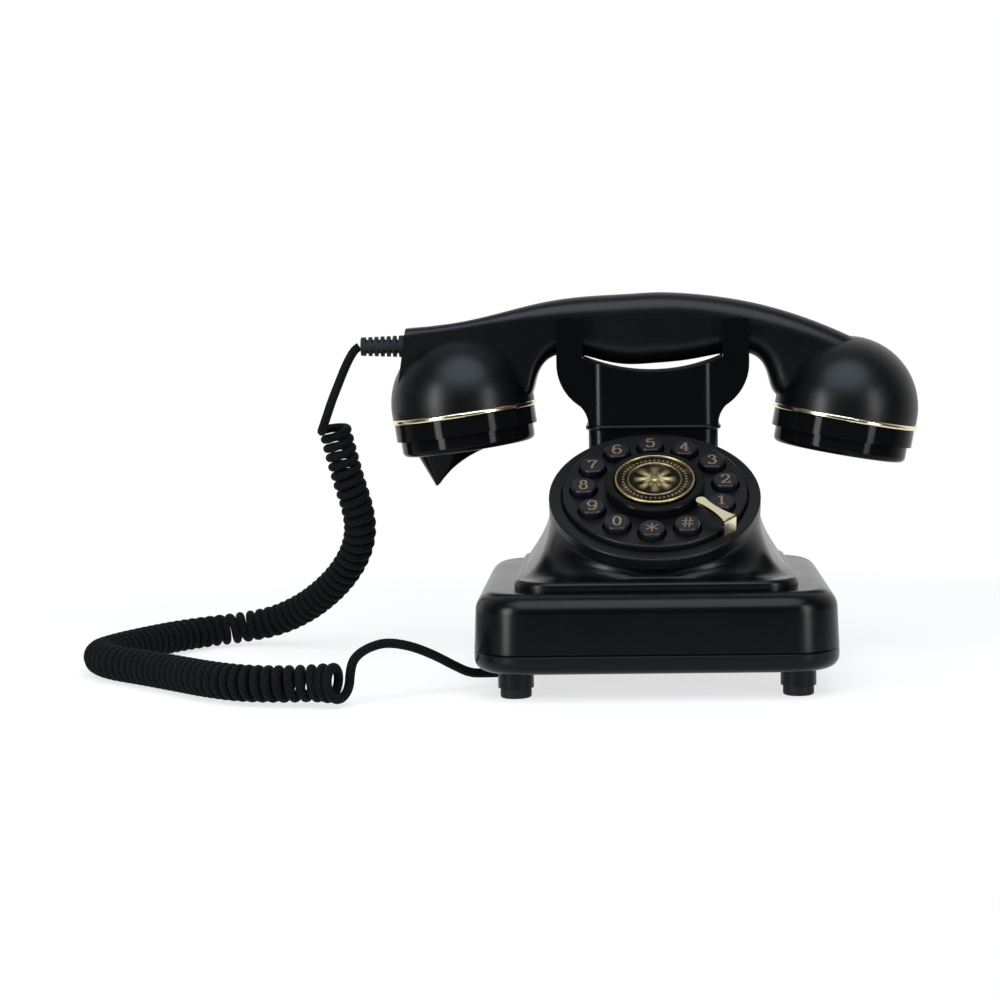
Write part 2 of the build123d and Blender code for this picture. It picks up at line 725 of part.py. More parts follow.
def make_cap():
    """Stepped screw cap with a dished face, sound holes and room for a capsule."""
    top = -trim_height
    step = top - cap_upper_height
    cap = upright(cap_radius, step, top)
    lower = upright(cap_step_radius, cup_face_z, step)
    cap += fillet(lower.edges().group_by(Axis.Z)[0], cap_edge_round)
    cap -= upright(cap_step_radius - cap_wall, cup_face_z + cap_wall, top)
    dish_span = cap_step_radius - cap_edge_round
    dish_radius = (dish_span ** 2 + cap_face_dish ** 2) / (2 * cap_face_dish)
    cap -= Pos(0, 0, cup_face_z + cap_face_dish - dish_radius) * Sphere(dish_radius)
    hole = upright(sound_hole_radius, cup_face_z, cup_face_z + cap_wall)
    cap -= hole
    for ring, count in ((sound_ring_radius, sound_ring_count), (sound_outer_radius, sound_outer_count)):
        for spot in PolarLocations(ring, count):
            cap -= spot * hole
    return cap


def make_capsule():
    """Speaker or microphone insert that lies in a cap."""
    seat = cup_face_z + cap_wall
    return upright(capsule_radius, seat, seat + capsule_height)


def horn_cone(shrink):
    """Cone from an oval on the cap to a narrow tip, made smaller all round by a wall."""
    root_x = (horn_root_inner_x - horn_root_outer_x) / 2
    root_half = (horn_root_inner_x + horn_root_outer_x) / 2
    root_z = cup_face_z + cap_wall / 2
    root = Plane((root_x, 0, root_z)) * Ellipse(root_half - shrink, horn_root_half_depth - shrink)
    tip_plane = Plane((-horn_tip_x, 0, cup_face_z - horn_tip_drop))
    tip_share = 1 - shrink / horn_root_half_depth
    tip = tip_plane * Ellipse(horn_tip_width / 2 * tip_share, horn_tip_half_depth * tip_share)
    return loft([root, tip], ruled=True)


def make_horn():
    """Scoop under the mouth cap that turns the voice into its sound holes."""
    floor = cup_face_z - 2 * horn_tip_drop
    lip = ThreePointArc((horn_root_inner_x, cup_face_z), (horn_arc_x, cup_face_z - horn_tip_drop + horn_arc_rise),
                        (-horn_tip_x, cup_face_z - horn_tip_drop))
    far = Polyline((-horn_tip_x, cup_face_z - horn_tip_drop), (-horn_tip_x, floor), (2 * mouth_cup_x, floor),
                   (2 * mouth_cup_x, cup_face_z), (horn_root_inner_x, cup_face_z))
    scoop = extrude(Plane.XZ * make_face([lip, far]), 2 * horn_root_half_depth, both=True)
    horn = horn_cone(0) - horn_cone(horn_wall) - scoop
    cap_body = upright(cap_step_radius, cup_face_z, 0)
    dish_span = cap_step_radius - cap_edge_round
    dish_radius = (dish_span ** 2 + cap_face_dish ** 2) / (2 * cap_face_dish)
    cap_body -= Pos(0, 0, cup_face_z + cap_face_dish - dish_radius) * Sphere(dish_radius)
    return horn - cap_body


def make_boot():
    """Ribbed strain relief where the cord leaves the handset."""
    boot = Cone(boot_root_radius, boot_end_radius, boot_length)
    pitch = boot_length / (boot_rib_count + 1)
    for rib in range(boot_rib_count):
        low = -boot_length / 2 + pitch * (rib + 1)
        groove = upright(boot_root_radius * 2, low - boot_groove_width / 2, low + boot_groove_width / 2)
        groove -= upright(boot_end_radius - boot_groove_depth, -boot_length, boot_length)
        boot -= groove - Box(boot_web, 2 * boot_length, 2 * boot_length)
    boot += upright(boot_spigot_radius, -boot_length / 2 - boot_spigot_length, -boot_length / 2)
    return Pos(-boot_root_x() - boot_length / 2, handset_y, boot_z) * Rot(0, -90, 0) * boot


def make_main_board():
    """Circuit board on the posts of the tray."""
    low = tray_floor_top + board_post_height
    return block(board_width, board_depth, low, low + board_thickness, (0, board_y))


def make_ringer_speaker():
    """Small loudspeaker over the sound holes of the tray."""
    return upright(speaker_radius, tray_floor_top, tray_floor_top + speaker_height, (0, speaker_y))


def make_base_weight():
    """Steel plate on each side of the loudspeaker that steadies the base."""
    plates = []
    for side in (-1, 1):
        plates.append(block(weight_width, weight_depth, tray_floor_top, tray_floor_top + weight_height,
                            (side * weight_x, weight_y)))
    return Compound(children=plates)


def rear_face(z):
    """Distance of the cover's rear wall from the middle at a height."""
    return base_depth / 2 - (z - parting_z) * tan(radians(cover_draft))


def make_line_jack():
    """Socket for the line, set in the rear wall of the cover."""
    face = rear_face(jack_z + jack_height / 2) - jack_face_set_back
    body = block(jack_width, jack_depth, jack_z - jack_height / 2, jack_z + jack_height / 2)
    body = Pos(jack_x, face - jack_depth / 2, 0) * body
    socket = block(socket_width, socket_depth, jack_z - socket_height / 2, jack_z + socket_height / 2)
    return body - Pos(jack_x, face - socket_depth / 2, 0) * socket


def ringer_wall():
    """Inner face of the rear wall at the ringer switch."""
    inner = base_depth / 2 - cover_wall
    return inner - (ringer_z + ringer_body_height / 2 - parting_z) * tan(radians(cover_draft))


def make_ringer_body():
    """Body of the ringer volume switch, behind its slot."""
    low = ringer_z - ringer_body_height / 2
    body = block(ringer_body_width, ringer_body_depth, low, low + ringer_body_height)
    return Pos(ringer_x, ringer_wall() - ringer_body_depth / 2, 0) * body


def make_ringer_knob():
    """Sliding knob of the ringer volume switch."""
    inner = ringer_wall() + ringer_gap
    outer = rear_face(ringer_z) + ringer_knob_stand
    low = ringer_z - ringer_knob_height / 2
    knob = block(ringer_knob_width, outer - inner, low, low + ringer_knob_height)
    return Pos(ringer_x - ringer_travel / 2, (inner + outer) / 2, 0) * knob


def make_gland():
    """Holder under the tray that the cord runs into."""
    sleeve = Cylinder(gland_radius, gland_length, rotation=(0, 90, 0))
    sleeve = Pos(gland_x + gland_length / 2, gland_y, gland_z) * sleeve
    web = block(gland_length, gland_block_width, gland_z, tray_bottom, (gland_x + gland_length / 2, gland_y))
    return sleeve + web


def steered_line(points, steps):
    """Points along the smooth line that a route's points steer.

    Each inner point pulls a parabola that runs between the middles of the two runs beside it.
    """
    ends = [points[0]]
    ends += [(points[k] + points[k + 1]) * 0.5 for k in range(1, len(points) - 2)]
    ends.append(points[-1])
    line = []
    for start, pull, end in zip(ends, points[1:-1], ends[1:]):
        for step in range(steps):
            u = step / steps
            line.append(start * (1 - u) ** 2 + pull * (2 * u * (1 - u)) + end * u ** 2)
    line.append(points[-1])
    return line


def curl_points():
    """Points on the curls, a helix round the steered line, with the number of half turns.

    The pitch is one cord and its gap, widened in a bend so that the inner side keeps that gap.
    The first curl starts on the outer side and the last one ends where the cord points upwards.
    """
    line = steered_line([Vector(*point) for point in curl_route], steered_steps)
    ways = [(line[min(k + 1, len(line) - 1)] - line[max(k - 1, 0)]).normalized() for k in range(len(line))]
    side = Vector(-1, 0, 0)
    sides = []
    turns = [0.0]
    for k in range(len(line)):
        side = (side - ways[k] * side.dot(ways[k])).normalized()
        sides.append(side)
    for k in range(1, len(line)):
        run = (line[k] - line[k - 1]).length
        bend = radians(ways[k - 1].get_angle(ways[k])) / run
        turns.append(turns[-1] + run * (1 - curl_radius * bend) / (cord_diameter + curl_gap))
    end_share = atan2(-sides[-1].Z, ways[-1].cross(sides[-1]).Z) / (2 * pi)
    count = round(turns[-1] - end_share) + end_share
    halves = round(2 * count)
    points = []
    place = 0
    for step in range(halves * curl_fine_steps + 1):
        turn = count * step / (halves * curl_fine_steps)
        spot = turn * turns[-1] / count
        while place < len(turns) - 2 and turns[place + 1] < spot:
            place += 1
        share = (spot - turns[place]) / (turns[place + 1] - turns[place])
        centre = line[place] * (1 - share) + line[place + 1] * share
        out = (sides[place] * (1 - share) + sides[place + 1] * share).normalized()
        way = (ways[place] * (1 - share) + ways[place + 1] * share).normalized()
        angle = 2 * pi * turn
        points.append(centre + (out * cos(angle) + way.cross(out) * sin(angle)) * curl_radius)
    return points, halves


def biarc(start, start_way, end, end_way):
    """Two arcs that leave one point and reach another in given directions."""
    chord = end - start
    ways = start_way + end_way
    lean = chord.dot(ways)
    spread = 2 * (1 - start_way.dot(end_way))
    if spread < same_way:
        reach = chord.dot(chord) / (4 * chord.dot(end_way))
    else:
        reach = (-lean + sqrt(lean ** 2 + spread * chord.dot(chord))) / spread
    knee = (start + start_way * reach + end - end_way * reach) * 0.5
    middle_way = (end - end_way * reach - start - start_way * reach).normalized()
    return [TangentArc(start, knee, tangent=start_way), TangentArc(knee, end, tangent=middle_way)]


def cord_section(start, way):
    """Many-sided section of the cord, square to its run."""
    return Plane(start, z_dir=way) * RegularPolygon(cord_diameter / 2, cord_sides)


def make_curls():
    """All the curls as one unbroken tube on half turn biarcs."""
    fine, halves = curl_points()
    marks = range(0, len(fine), curl_fine_steps)
    ways = [(fine[min(k + 1, len(fine) - 1)] - fine[max(k - 1, 0)]).normalized() for k in marks]
    edges = []
    for k in range(len(marks) - 1):
        edges += biarc(fine[marks[k]], ways[k], fine[marks[k + 1]], ways[k + 1])
    edges.insert(0, Line(fine[0] - ways[0] * cord_diameter, fine[0]))
    edges.append(Line(fine[-1], fine[-1] + ways[-1] * cord_diameter))
    path = Wire(edges)
    radii = [edge.radius for edge in edges[1:-1]]
    tube = sweep(cord_section(path.position_at(0), ways[0]), path=path, clean=False)
    spots = [edge.position_at(u / gap_samples) for edge in edges for u in range(gap_samples)]
    print("curls", halves / 2, "length", round(path.length), "tightest", round(min(radii), 2))
    print("curl gap", round(least_gap(spots), 2))
    area = cord_section(fine[0], ways[0]).area
    print("curl volume over section times length", round(tube.volume / (area * path.length), 3))
    return tube, path.position_at(0), path.position_at(1)


def least_gap(spots):
    """Least clear space between stretches of the cord that are not next to each other."""
    lengths = [0.0]
    for first, second in zip(spots, spots[1:]):
        lengths.append(lengths[-1] + (second - first).length)
    least = inf
    apart = cord_diameter * gap_skip
    for k, spot in enumerate(spots):
        for other in range(k + 1, min(k + gap_window, len(spots))):
            if lengths[other] - lengths[k] > apart:
                least = min(least, (spots[other] - spot).length)
    return least - cord_diameter


def make_lead(name, points):
    """Plain stretch of the cord on straight runs joined by the largest arcs that fit."""
    runs = [(b - a).length for a, b in zip(points, points[1:])]
    radii = []
    for k in range(1, len(points) - 1):
        turn = radians((points[k] - points[k - 1]).get_angle(points[k + 1] - points[k]))
        radii.append(lead_share * min(runs[k - 1], runs[k]) / tan(turn / 2))
    path = FilletPolyline(*points, radius=radii)
    section = cord_section(points[0], points[1] - points[0])
    tube = sweep(section, path=path, clean=False)
    print(name, "length", round(path.length, 1), "radii", [round(radius, 1) for radius in radii])
    print(name, "volume over section times length", round(tube.volume / (section.area * path.length), 3))
    return tube


def build():
    """Make every piece under the name of its node."""
    cradle = make_cradle()
    half_space = [block(2 * base_width, base_depth, 0, 2 * prong_top, (0, handset_y + side * base_depth / 2))
                  for side in (-1, 1)]
    pieces = {
        "base_tray": make_base_tray(),
        "base_feet": make_feet(),
        "base_cover": make_base_cover(),
        "case_screws": make_case_screws(),
        "pedestal_shell": make_pedestal(),
        "pedestal_screws": make_skirt_screws(),
        "dial_bezel": make_bezel(),
        "dial_face_plate": make_face_plate(),
        "dial_collar": make_collar(),
        "finger_stop": make_finger_stop(),
        "keypad_membrane": make_membrane(),
        "keypad_board": make_keypad_board(),
        "rocker_medallion": make_medallion(),
        "rocker_carrier": make_rocker_carrier(),
        "rocker_pin": make_rocker_pin(),
        "cradle_front": cradle & half_space[0],
        "cradle_rear": cradle & half_space[1],
        "hook_yoke": make_hook_yoke(),
        "hook_spring": make_hook_spring(),
        "hook_switch": make_hook_switch(),
        "main_board": make_main_board(),
        "ringer_speaker": make_ringer_speaker(),
        "base_weights": make_base_weight(),
        "line_jack": make_line_jack(),
        "ringer_switch_body": make_ringer_body(),
        "ringer_switch_knob": make_ringer_knob(),
        "base_cord_gland": make_gland(),
        "handset_shell": make_handset_shell(),
        "mouth_trim_ring": mouth_plane * make_trim_ring(),
        "ear_trim_ring": ear_plane * make_trim_ring(),
        "mouth_cap": mouth_plane * make_cap(),
        "ear_cap": ear_plane * make_cap(),
        "mic_capsule": mouth_plane * make_capsule(),
        "ear_capsule": ear_plane * make_capsule(),
        "mouth_horn": mouth_plane * make_horn(),
        "handset_boot": make_boot(),
    }
    curls, upper, lower = make_curls()
    boot_end = Vector(-boot_root_x() - boot_length - boot_cord_gap, handset_y, boot_z)
    holder = Vector(gland_x, gland_y, gland_z)
    upper_line = [boot_end] + [Vector(*point) for point in handset_lead] + [upper]
    lower_line = [lower] + [Vector(*point) for point in base_lead] + [holder]
    pieces["cord_handset_lead"] = make_lead("handset lead", upper_line)
    pieces["cord_curls"] = curls
    pieces["cord_base_lead"] = make_lead("base lead", lower_line)
    for name, spot in zip(key_names, key_places()):
        pieces["key_" + name] = make_key(spot)
    return pieces


def main():
    """Write each piece to its own file."""
    os.makedirs("parts", exist_ok=True)
    for name, shape in build().items():
        export_step(shape, "parts/" + name + ".step")


if __name__ == "__main__":
    main()
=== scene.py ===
import json
import logging
from dataclasses import dataclass, replace
from enum import Enum
from itertools import accumulate
from math import pi, radians

import bpy
import numpy as np
from mathutils import Matrix, Vector

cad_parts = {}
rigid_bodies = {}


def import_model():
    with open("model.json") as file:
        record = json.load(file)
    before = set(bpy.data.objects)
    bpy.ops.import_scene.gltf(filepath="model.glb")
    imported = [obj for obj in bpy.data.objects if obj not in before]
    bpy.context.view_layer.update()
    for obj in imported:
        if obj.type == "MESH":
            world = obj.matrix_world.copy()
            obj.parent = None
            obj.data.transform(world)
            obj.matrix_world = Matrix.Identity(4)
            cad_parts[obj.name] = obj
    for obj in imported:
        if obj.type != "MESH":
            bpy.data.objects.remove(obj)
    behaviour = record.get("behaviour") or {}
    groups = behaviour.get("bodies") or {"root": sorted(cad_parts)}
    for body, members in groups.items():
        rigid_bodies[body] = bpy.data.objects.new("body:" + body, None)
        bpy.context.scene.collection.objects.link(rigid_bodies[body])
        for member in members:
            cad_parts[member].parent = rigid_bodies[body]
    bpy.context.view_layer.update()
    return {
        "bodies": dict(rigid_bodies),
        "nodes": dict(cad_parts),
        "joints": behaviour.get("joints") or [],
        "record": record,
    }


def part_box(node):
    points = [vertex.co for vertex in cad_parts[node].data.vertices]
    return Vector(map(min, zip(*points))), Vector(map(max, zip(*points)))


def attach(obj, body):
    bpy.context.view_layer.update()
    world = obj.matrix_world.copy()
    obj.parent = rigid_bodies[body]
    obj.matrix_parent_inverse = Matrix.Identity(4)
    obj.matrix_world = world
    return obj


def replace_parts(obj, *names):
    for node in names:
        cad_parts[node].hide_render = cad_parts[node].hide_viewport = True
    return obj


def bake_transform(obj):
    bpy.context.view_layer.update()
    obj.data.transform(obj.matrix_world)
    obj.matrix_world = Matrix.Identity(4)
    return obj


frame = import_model()

LOG = logging.getLogger("telephone")
Array = np.ndarray
Colour = tuple[float, float, float]
Point = tuple[float, float, float]
MM = 0.001
RELIEF = "relief"


class Slot(Enum):
    """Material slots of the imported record."""

    BODY = "body_black"
    GLOSS = "gloss_black"
    FACE = "face_black"
    KEY = "key_black"
    GOLD = "gold_trim"
    BRASS = "antique_brass"
    BRAID = "cord_braid"
    RUBBER = "soft_rubber"
    INNER = "inner_plastic"
    STEEL = "steel"
    BOARD = "board_green"
    DRIVER = "driver_cone"


class Body(Enum):
    """Moving bodies that new pieces ride on."""

    BASE = "base"
    HANDSET = "handset"
    ROCKER = "rocker"


def unit(vectors: Array) -> Array:
    """Vectors divided by their own lengths.

    Args:
        vectors: Rows of three numbers.

    Returns:
        Rows of length one.
    """
    return vectors / np.linalg.norm(vectors, axis=-1, keepdims=True)


def along(points: Array) -> Array:
    """Running length of a line of points, starting from zero.

    Args:
        points: Rows of three numbers, in order.

    Returns:
        One length for each point.
    """
    steps = np.linalg.norm(np.diff(points, axis=0), axis=1)
    return np.concatenate([[0.0], np.cumsum(steps)])


def carried(start: Array, ways: Array) -> Array:
    """A side vector carried along a line without twist.

    At each station the part of the vector that lies along the line is taken off.

    Args:
        start: Side vector before the first station.
        ways: Directions of the line, one row for each station.

    Returns:
        Side vectors square to the line, one row for each station.
    """
    def level(side: Array, way: Array) -> Array:
        """The side vector made square to one direction."""
        return unit(side - way * np.dot(side, way))

    return np.array(list(accumulate(ways, level, initial=start)))[1:]


def grid_faces(rows: int, columns: int, close_rows: bool, close_columns: bool) -> Array:
    """Corner numbers of the quads between neighbours on a grid.

    Args:
        rows: Grid points in the first parameter.
        columns: Grid points in the second parameter.
        close_rows: Join the last row to the first.
        close_columns: Join the last column to the first.

    Returns:
        Rows of four corner numbers.
    """
    first = np.arange(rows if close_rows else rows - 1)
    second = np.arange(columns if close_columns else columns - 1)
    row, column = np.meshgrid(first, second, indexing="ij")
    next_row, next_column = (row + 1) % rows, (column + 1) % columns
    quads = [row * columns + column, next_row * columns + column,
             next_row * columns + next_column, row * columns + next_column]
    return np.stack(quads, axis=-1).reshape(-1, 4)


def bar_faces(stations: int, corners: int, closed: bool) -> Array:
    """Faces of a four-cornered bar, capped at both ends unless it closes on itself.

    Args:
        stations: Sections along the bar.
        corners: Corners of a section.
        closed: Join the last section to the first.

    Returns:
        Rows of four corner numbers.
    """
    quads = grid_faces(stations, corners, closed, True)
    first = np.arange(corners)
    caps = np.stack([first, (stations - 1) * corners + first[::-1]])
    return quads if closed else np.concatenate([quads, caps])


def make_object(name: str, points: Array, faces: list[list[int]], smooth: bool = True) -> bpy.types.Object:
    """A mesh object at the origin, with its place in its mesh.

    Args:
        name: Name of the piece.
        points: Corner places in metres.
        faces: Corner numbers of each face, seen from outside in turning order.
        smooth: Shade across the faces.

    Returns:
        The object, linked to the scene.
    """
    mesh = bpy.data.meshes.new(name)
    mesh.from_pydata(points.reshape(-1, 3).tolist(), [], faces)
    mesh.polygons.foreach_set("use_smooth", np.full(len(mesh.polygons), smooth))
    mesh.update()
    piece = bpy.data.objects.new(name, mesh)
    bpy.context.scene.collection.objects.link(piece)
    LOG.info("piece %s: %d faces", name, len(mesh.polygons))
    return piece


def dress(piece: bpy.types.Object, material: bpy.types.Material) -> None:
    """Gives a piece one material in place of what it had."""
    piece.data.materials.clear()
    piece.data.materials.append(material)


class Nodes:
    """Short way to add and join shader nodes in one tree."""

    def __init__(self, tree: bpy.types.NodeTree) -> None:
        """Starts from an empty tree."""
        self.tree = tree
        tree.nodes.clear()

    def add(self, kind: str, inputs: dict[str | int, object] | None = None,
            **settings: object) -> bpy.types.Node:
        """Adds a node.

        Args:
            kind: Blender's name of the node type.
            inputs: Values, or output sockets to join, by input name or number.
            **settings: Properties of the node.

        Returns:
            The new node.
        """
        node = self.tree.nodes.new(kind)
        for key, value in settings.items():
            setattr(node, key, value)
        for key, value in (inputs or {}).items():
            if isinstance(value, bpy.types.NodeSocket):
                self.tree.links.new(value, node.inputs[key])
            else:
                node.inputs[key].default_value = value
        return node

    def math(self, operation: str, first: object, second: object = 0.0,
             third: object = 0.0) -> bpy.types.NodeSocket:
        """The output of a Math node with up to three inputs."""
        inputs = {0: first, 1: second, 2: third}
        return self.add("ShaderNodeMath", inputs, operation=operation).outputs[0]

    def noise(self, place: bpy.types.NodeSocket, scale: object, detail: float) -> bpy.types.NodeSocket:
        """The first output of a noise at a place."""
        inputs = {"Vector": place, "Scale": scale, "Detail": detail}
        return self.add("ShaderNodeTexNoise", inputs).outputs[0]

    def bump(self, height: bpy.types.NodeSocket, distance: float) -> bpy.types.NodeSocket:
        """The normal of a surface that a height raises."""
        return self.add("ShaderNodeBump", {"Height": height, "Distance": distance}).outputs[0]

    def feed(self, shader: bpy.types.Node, sockets: dict[str, bpy.types.NodeSocket]) -> None:
        """Joins outputs to a shader's inputs by name."""
        for name, socket in sockets.items():
            self.tree.links.new(socket, shader.inputs[name])

    def blend(self, share: object, first: object, second: object) -> bpy.types.NodeSocket:
        """A mix between two colours.

        Args:
            share: Share of the second colour.
            first: Colour, or the socket that gives it.
            second: Colour, or the socket that gives it.

        Returns:
            The socket of the mixed colour.
        """
        node = self.add("ShaderNodeMix", {"Factor": share}, data_type="RGBA")
        for socket, value in zip([s for s in node.inputs if s.type == "RGBA"], (first, second)):
            if isinstance(value, bpy.types.NodeSocket):
                self.tree.links.new(value, socket)
            else:
                socket.default_value = value
        return [s for s in node.outputs if s.type == "RGBA"][0]


def shade(colour: Colour, factor: float = 1.0) -> tuple[float, float, float, float]:
    """A colour with full cover, made lighter or darker by a factor."""
    return (colour[0] * factor, colour[1] * factor, colour[2] * factor, 1.0)


def new_group(name: str, inputs: dict[str, float], outputs: list[str]) -> tuple[bpy.types.NodeTree, Nodes]:
    """An empty shader node group.

    Args:
        name: Name of the group.
        inputs: Input names with their first values.
        outputs: Output names.

    Returns:
        The group, and the helper that fills it.
    """
    tree = bpy.data.node_groups.new(name, "ShaderNodeTree")
    for label, value in inputs.items():
        socket = tree.interface.new_socket(label, in_out="INPUT", socket_type="NodeSocketFloat")
        socket.default_value = value
    for label in outputs:
        tree.interface.new_socket(label, in_out="OUTPUT", socket_type="NodeSocketFloat")
    return tree, Nodes(tree)


@dataclass(frozen=True)
class GrainPlan:
    """Fine moulded grain: slow clouds of tone, a pebbled height and scattered specks of dust."""

    cloud_scale: float = 30.0
    cloud_detail: float = 3.0
    grain_scale: float = 2500.0
    grain_detail: float = 2.0
    speck_scale: float = 260.0
    speck_size: float = 0.045
    speck_clouds: float = 0.56

    def group(self) -> bpy.types.NodeTree:
        """Builds the node group.

        Returns:
            A group with the outputs Clouds, Height and Specks.
        """
        inputs = {"Cloud Scale": self.cloud_scale, "Grain Scale": self.grain_scale,
                  "Speck Scale": self.speck_scale}
        tree, nodes = new_group("moulded_grain", inputs, ["Clouds", "Height", "Specks"])
        entry = nodes.add("NodeGroupInput").outputs
        place = nodes.add("ShaderNodeTexCoord").outputs["Object"]
        clouds = nodes.noise(place, entry["Cloud Scale"], self.cloud_detail)
        grain = nodes.noise(place, entry["Grain Scale"], self.grain_detail)
        specks = nodes.add("ShaderNodeTexVoronoi", {"Vector": place, "Scale": entry["Speck Scale"]})
        near = nodes.math("LESS_THAN", specks.outputs["Distance"], self.speck_size)
        rare = nodes.math("GREATER_THAN", clouds, self.speck_clouds)
        leave = nodes.add("NodeGroupOutput").inputs
        tree.links.new(clouds, leave["Clouds"])
        tree.links.new(grain, leave["Height"])
        tree.links.new(nodes.math("MULTIPLY", near, rare), leave["Specks"])
        return tree


@dataclass(frozen=True)
class ScratchPlan:
    """Fine lines on metal, a noise stretched along one axis, and a slower noise of tarnish."""

    line_scale: float = 900.0
    line_detail: float = 2.0
    line_stretch: Point = (0.06, 1.0, 1.0)
    tarnish_scale: float = 120.0
    tarnish_detail: float = 4.0

    def group(self) -> bpy.types.NodeTree:
        """Builds the node group.

        Returns:
            A group with the outputs Lines and Tarnish.
        """
        inputs = {"Line Scale": self.line_scale, "Tarnish Scale": self.tarnish_scale}
        tree, nodes = new_group("drawn_lines", inputs, ["Lines", "Tarnish"])
        entry = nodes.add("NodeGroupInput").outputs
        place = nodes.add("ShaderNodeTexCoord").outputs["Object"]
        stretched = nodes.add("ShaderNodeMapping", {"Vector": place, "Scale": self.line_stretch}).outputs[0]
        leave = nodes.add("NodeGroupOutput").inputs
        tree.links.new(nodes.noise(stretched, entry["Line Scale"], self.line_detail), leave["Lines"])
        tree.links.new(nodes.noise(place, entry["Tarnish Scale"], self.tarnish_detail), leave["Tarnish"])
        return tree


@dataclass(frozen=True)
class Groups:
    """Node groups that several finishes share."""

    grain: bpy.types.NodeTree
    scratches: bpy.types.NodeTree


def new_material(name: str) -> tuple[bpy.types.Material, Nodes, bpy.types.Node]:
    """A material with one Principled shader joined to its output.

    Args:
        name: Name of the material.

    Returns:
        The material, the helper for its nodes, and the shader.
    """
    material = bpy.data.materials.new(name)
    material.use_nodes = True
    nodes = Nodes(material.node_tree)
    shader = nodes.add("ShaderNodeBsdfPrincipled")
    nodes.add("ShaderNodeOutputMaterial", {"Surface": shader.outputs[0]})
    return material, nodes, shader


@dataclass(frozen=True)
class HandleRest:
    """Lying cylinder of the cradle's saddle, a hair larger than the saddle itself, in metres."""

    axis_height: float = 0.20775
    radius: float = 0.07765
    half_width: float = 0.0305


@dataclass(frozen=True)
class MouldedFinish:
    """Moulded plastic or rubber: one colour, a gloss that drifts a little, and a fine grain."""

    name: str
    colour: Colour
    roughness: float
    drift: float = 0.06
    grain_height: float = 0.00002
    specular: float = 0.5
    speck: float = 0.0
    dark_share: float = 0.75
    light_share: float = 1.3
    rest: HandleRest | None = None

    def dulled(self, nodes: Nodes, gloss: bpy.types.NodeSocket) -> bpy.types.NodeSocket:
        """Roughness raised to full where the handle rests.

        A place is in the rest where its distance from the axis is below the radius and it lies between
        the prongs.

        Args:
            nodes: Helper of the material's tree.
            gloss: Roughness elsewhere.

        Returns:
            Roughness everywhere.
        """
        place = nodes.add("ShaderNodeTexCoord").outputs["Object"]
        spot = nodes.add("ShaderNodeSeparateXYZ", {0: place}).outputs
        drop = nodes.math("SUBTRACT", spot["Z"], self.rest.axis_height)
        square = nodes.math("MULTIPLY_ADD", drop, drop, nodes.math("MULTIPLY", spot["X"], spot["X"]))
        near = nodes.math("LESS_THAN", square, self.rest.radius ** 2)
        between = nodes.math("LESS_THAN", nodes.math("ABSOLUTE", spot["X"]), self.rest.half_width)
        return nodes.math("MAXIMUM", gloss, nodes.math("MULTIPLY", near, between))

    def material(self, groups: Groups) -> bpy.types.Material:
        """Builds the finish.

        Args:
            groups: Shared node groups.

        Returns:
            A new material.
        """
        material, nodes, shader = new_material(self.name)
        grain = nodes.add("ShaderNodeGroup", node_tree=groups.grain)
        clouds = grain.outputs["Clouds"]
        dark, light = shade(self.colour, self.dark_share), shade(self.colour, self.light_share)
        tone = nodes.blend(clouds, dark, light)
        if self.speck:
            tone = nodes.blend(grain.outputs["Specks"], tone, shade((self.speck,) * 3))
        gloss = nodes.math("MULTIPLY_ADD", clouds, 2 * self.drift, self.roughness - self.drift)
        gloss = self.dulled(nodes, gloss) if self.rest else gloss
        bump = nodes.bump(grain.outputs["Height"], self.grain_height)
        nodes.feed(shader, {"Base Color": tone, "Roughness": gloss, "Normal": bump})
        shader.inputs["Specular IOR Level"].default_value = self.specular
        return material


@dataclass(frozen=True)
class MetalFinish:
    """Plated or drawn metal: fine lines in the gloss and a faint tarnish in the colour."""

    name: str
    colour: Colour
    tarnish: Colour
    roughness: float
    line_drift: float = 0.07
    line_height: float = 0.000004
    tarnish_share: float = 0.5

    def material(self, groups: Groups) -> bpy.types.Material:
        """Builds the finish.

        Args:
            groups: Shared node groups.

        Returns:
            A new material.
        """
        material, nodes, shader = new_material(self.name)
        lines = nodes.add("ShaderNodeGroup", node_tree=groups.scratches)
        share = nodes.math("MULTIPLY", lines.outputs["Tarnish"], self.tarnish_share)
        tone = nodes.blend(share, shade(self.colour), shade(self.tarnish))
        drawn = lines.outputs["Lines"]
        gloss = nodes.math("MULTIPLY_ADD", drawn, 2 * self.line_drift, self.roughness - self.line_drift)
        bump = nodes.bump(drawn, self.line_height)
        nodes.feed(shader, {"Base Color": tone, "Roughness": gloss, "Normal": bump})
        shader.inputs["Metallic"].default_value = 1.0
        return material


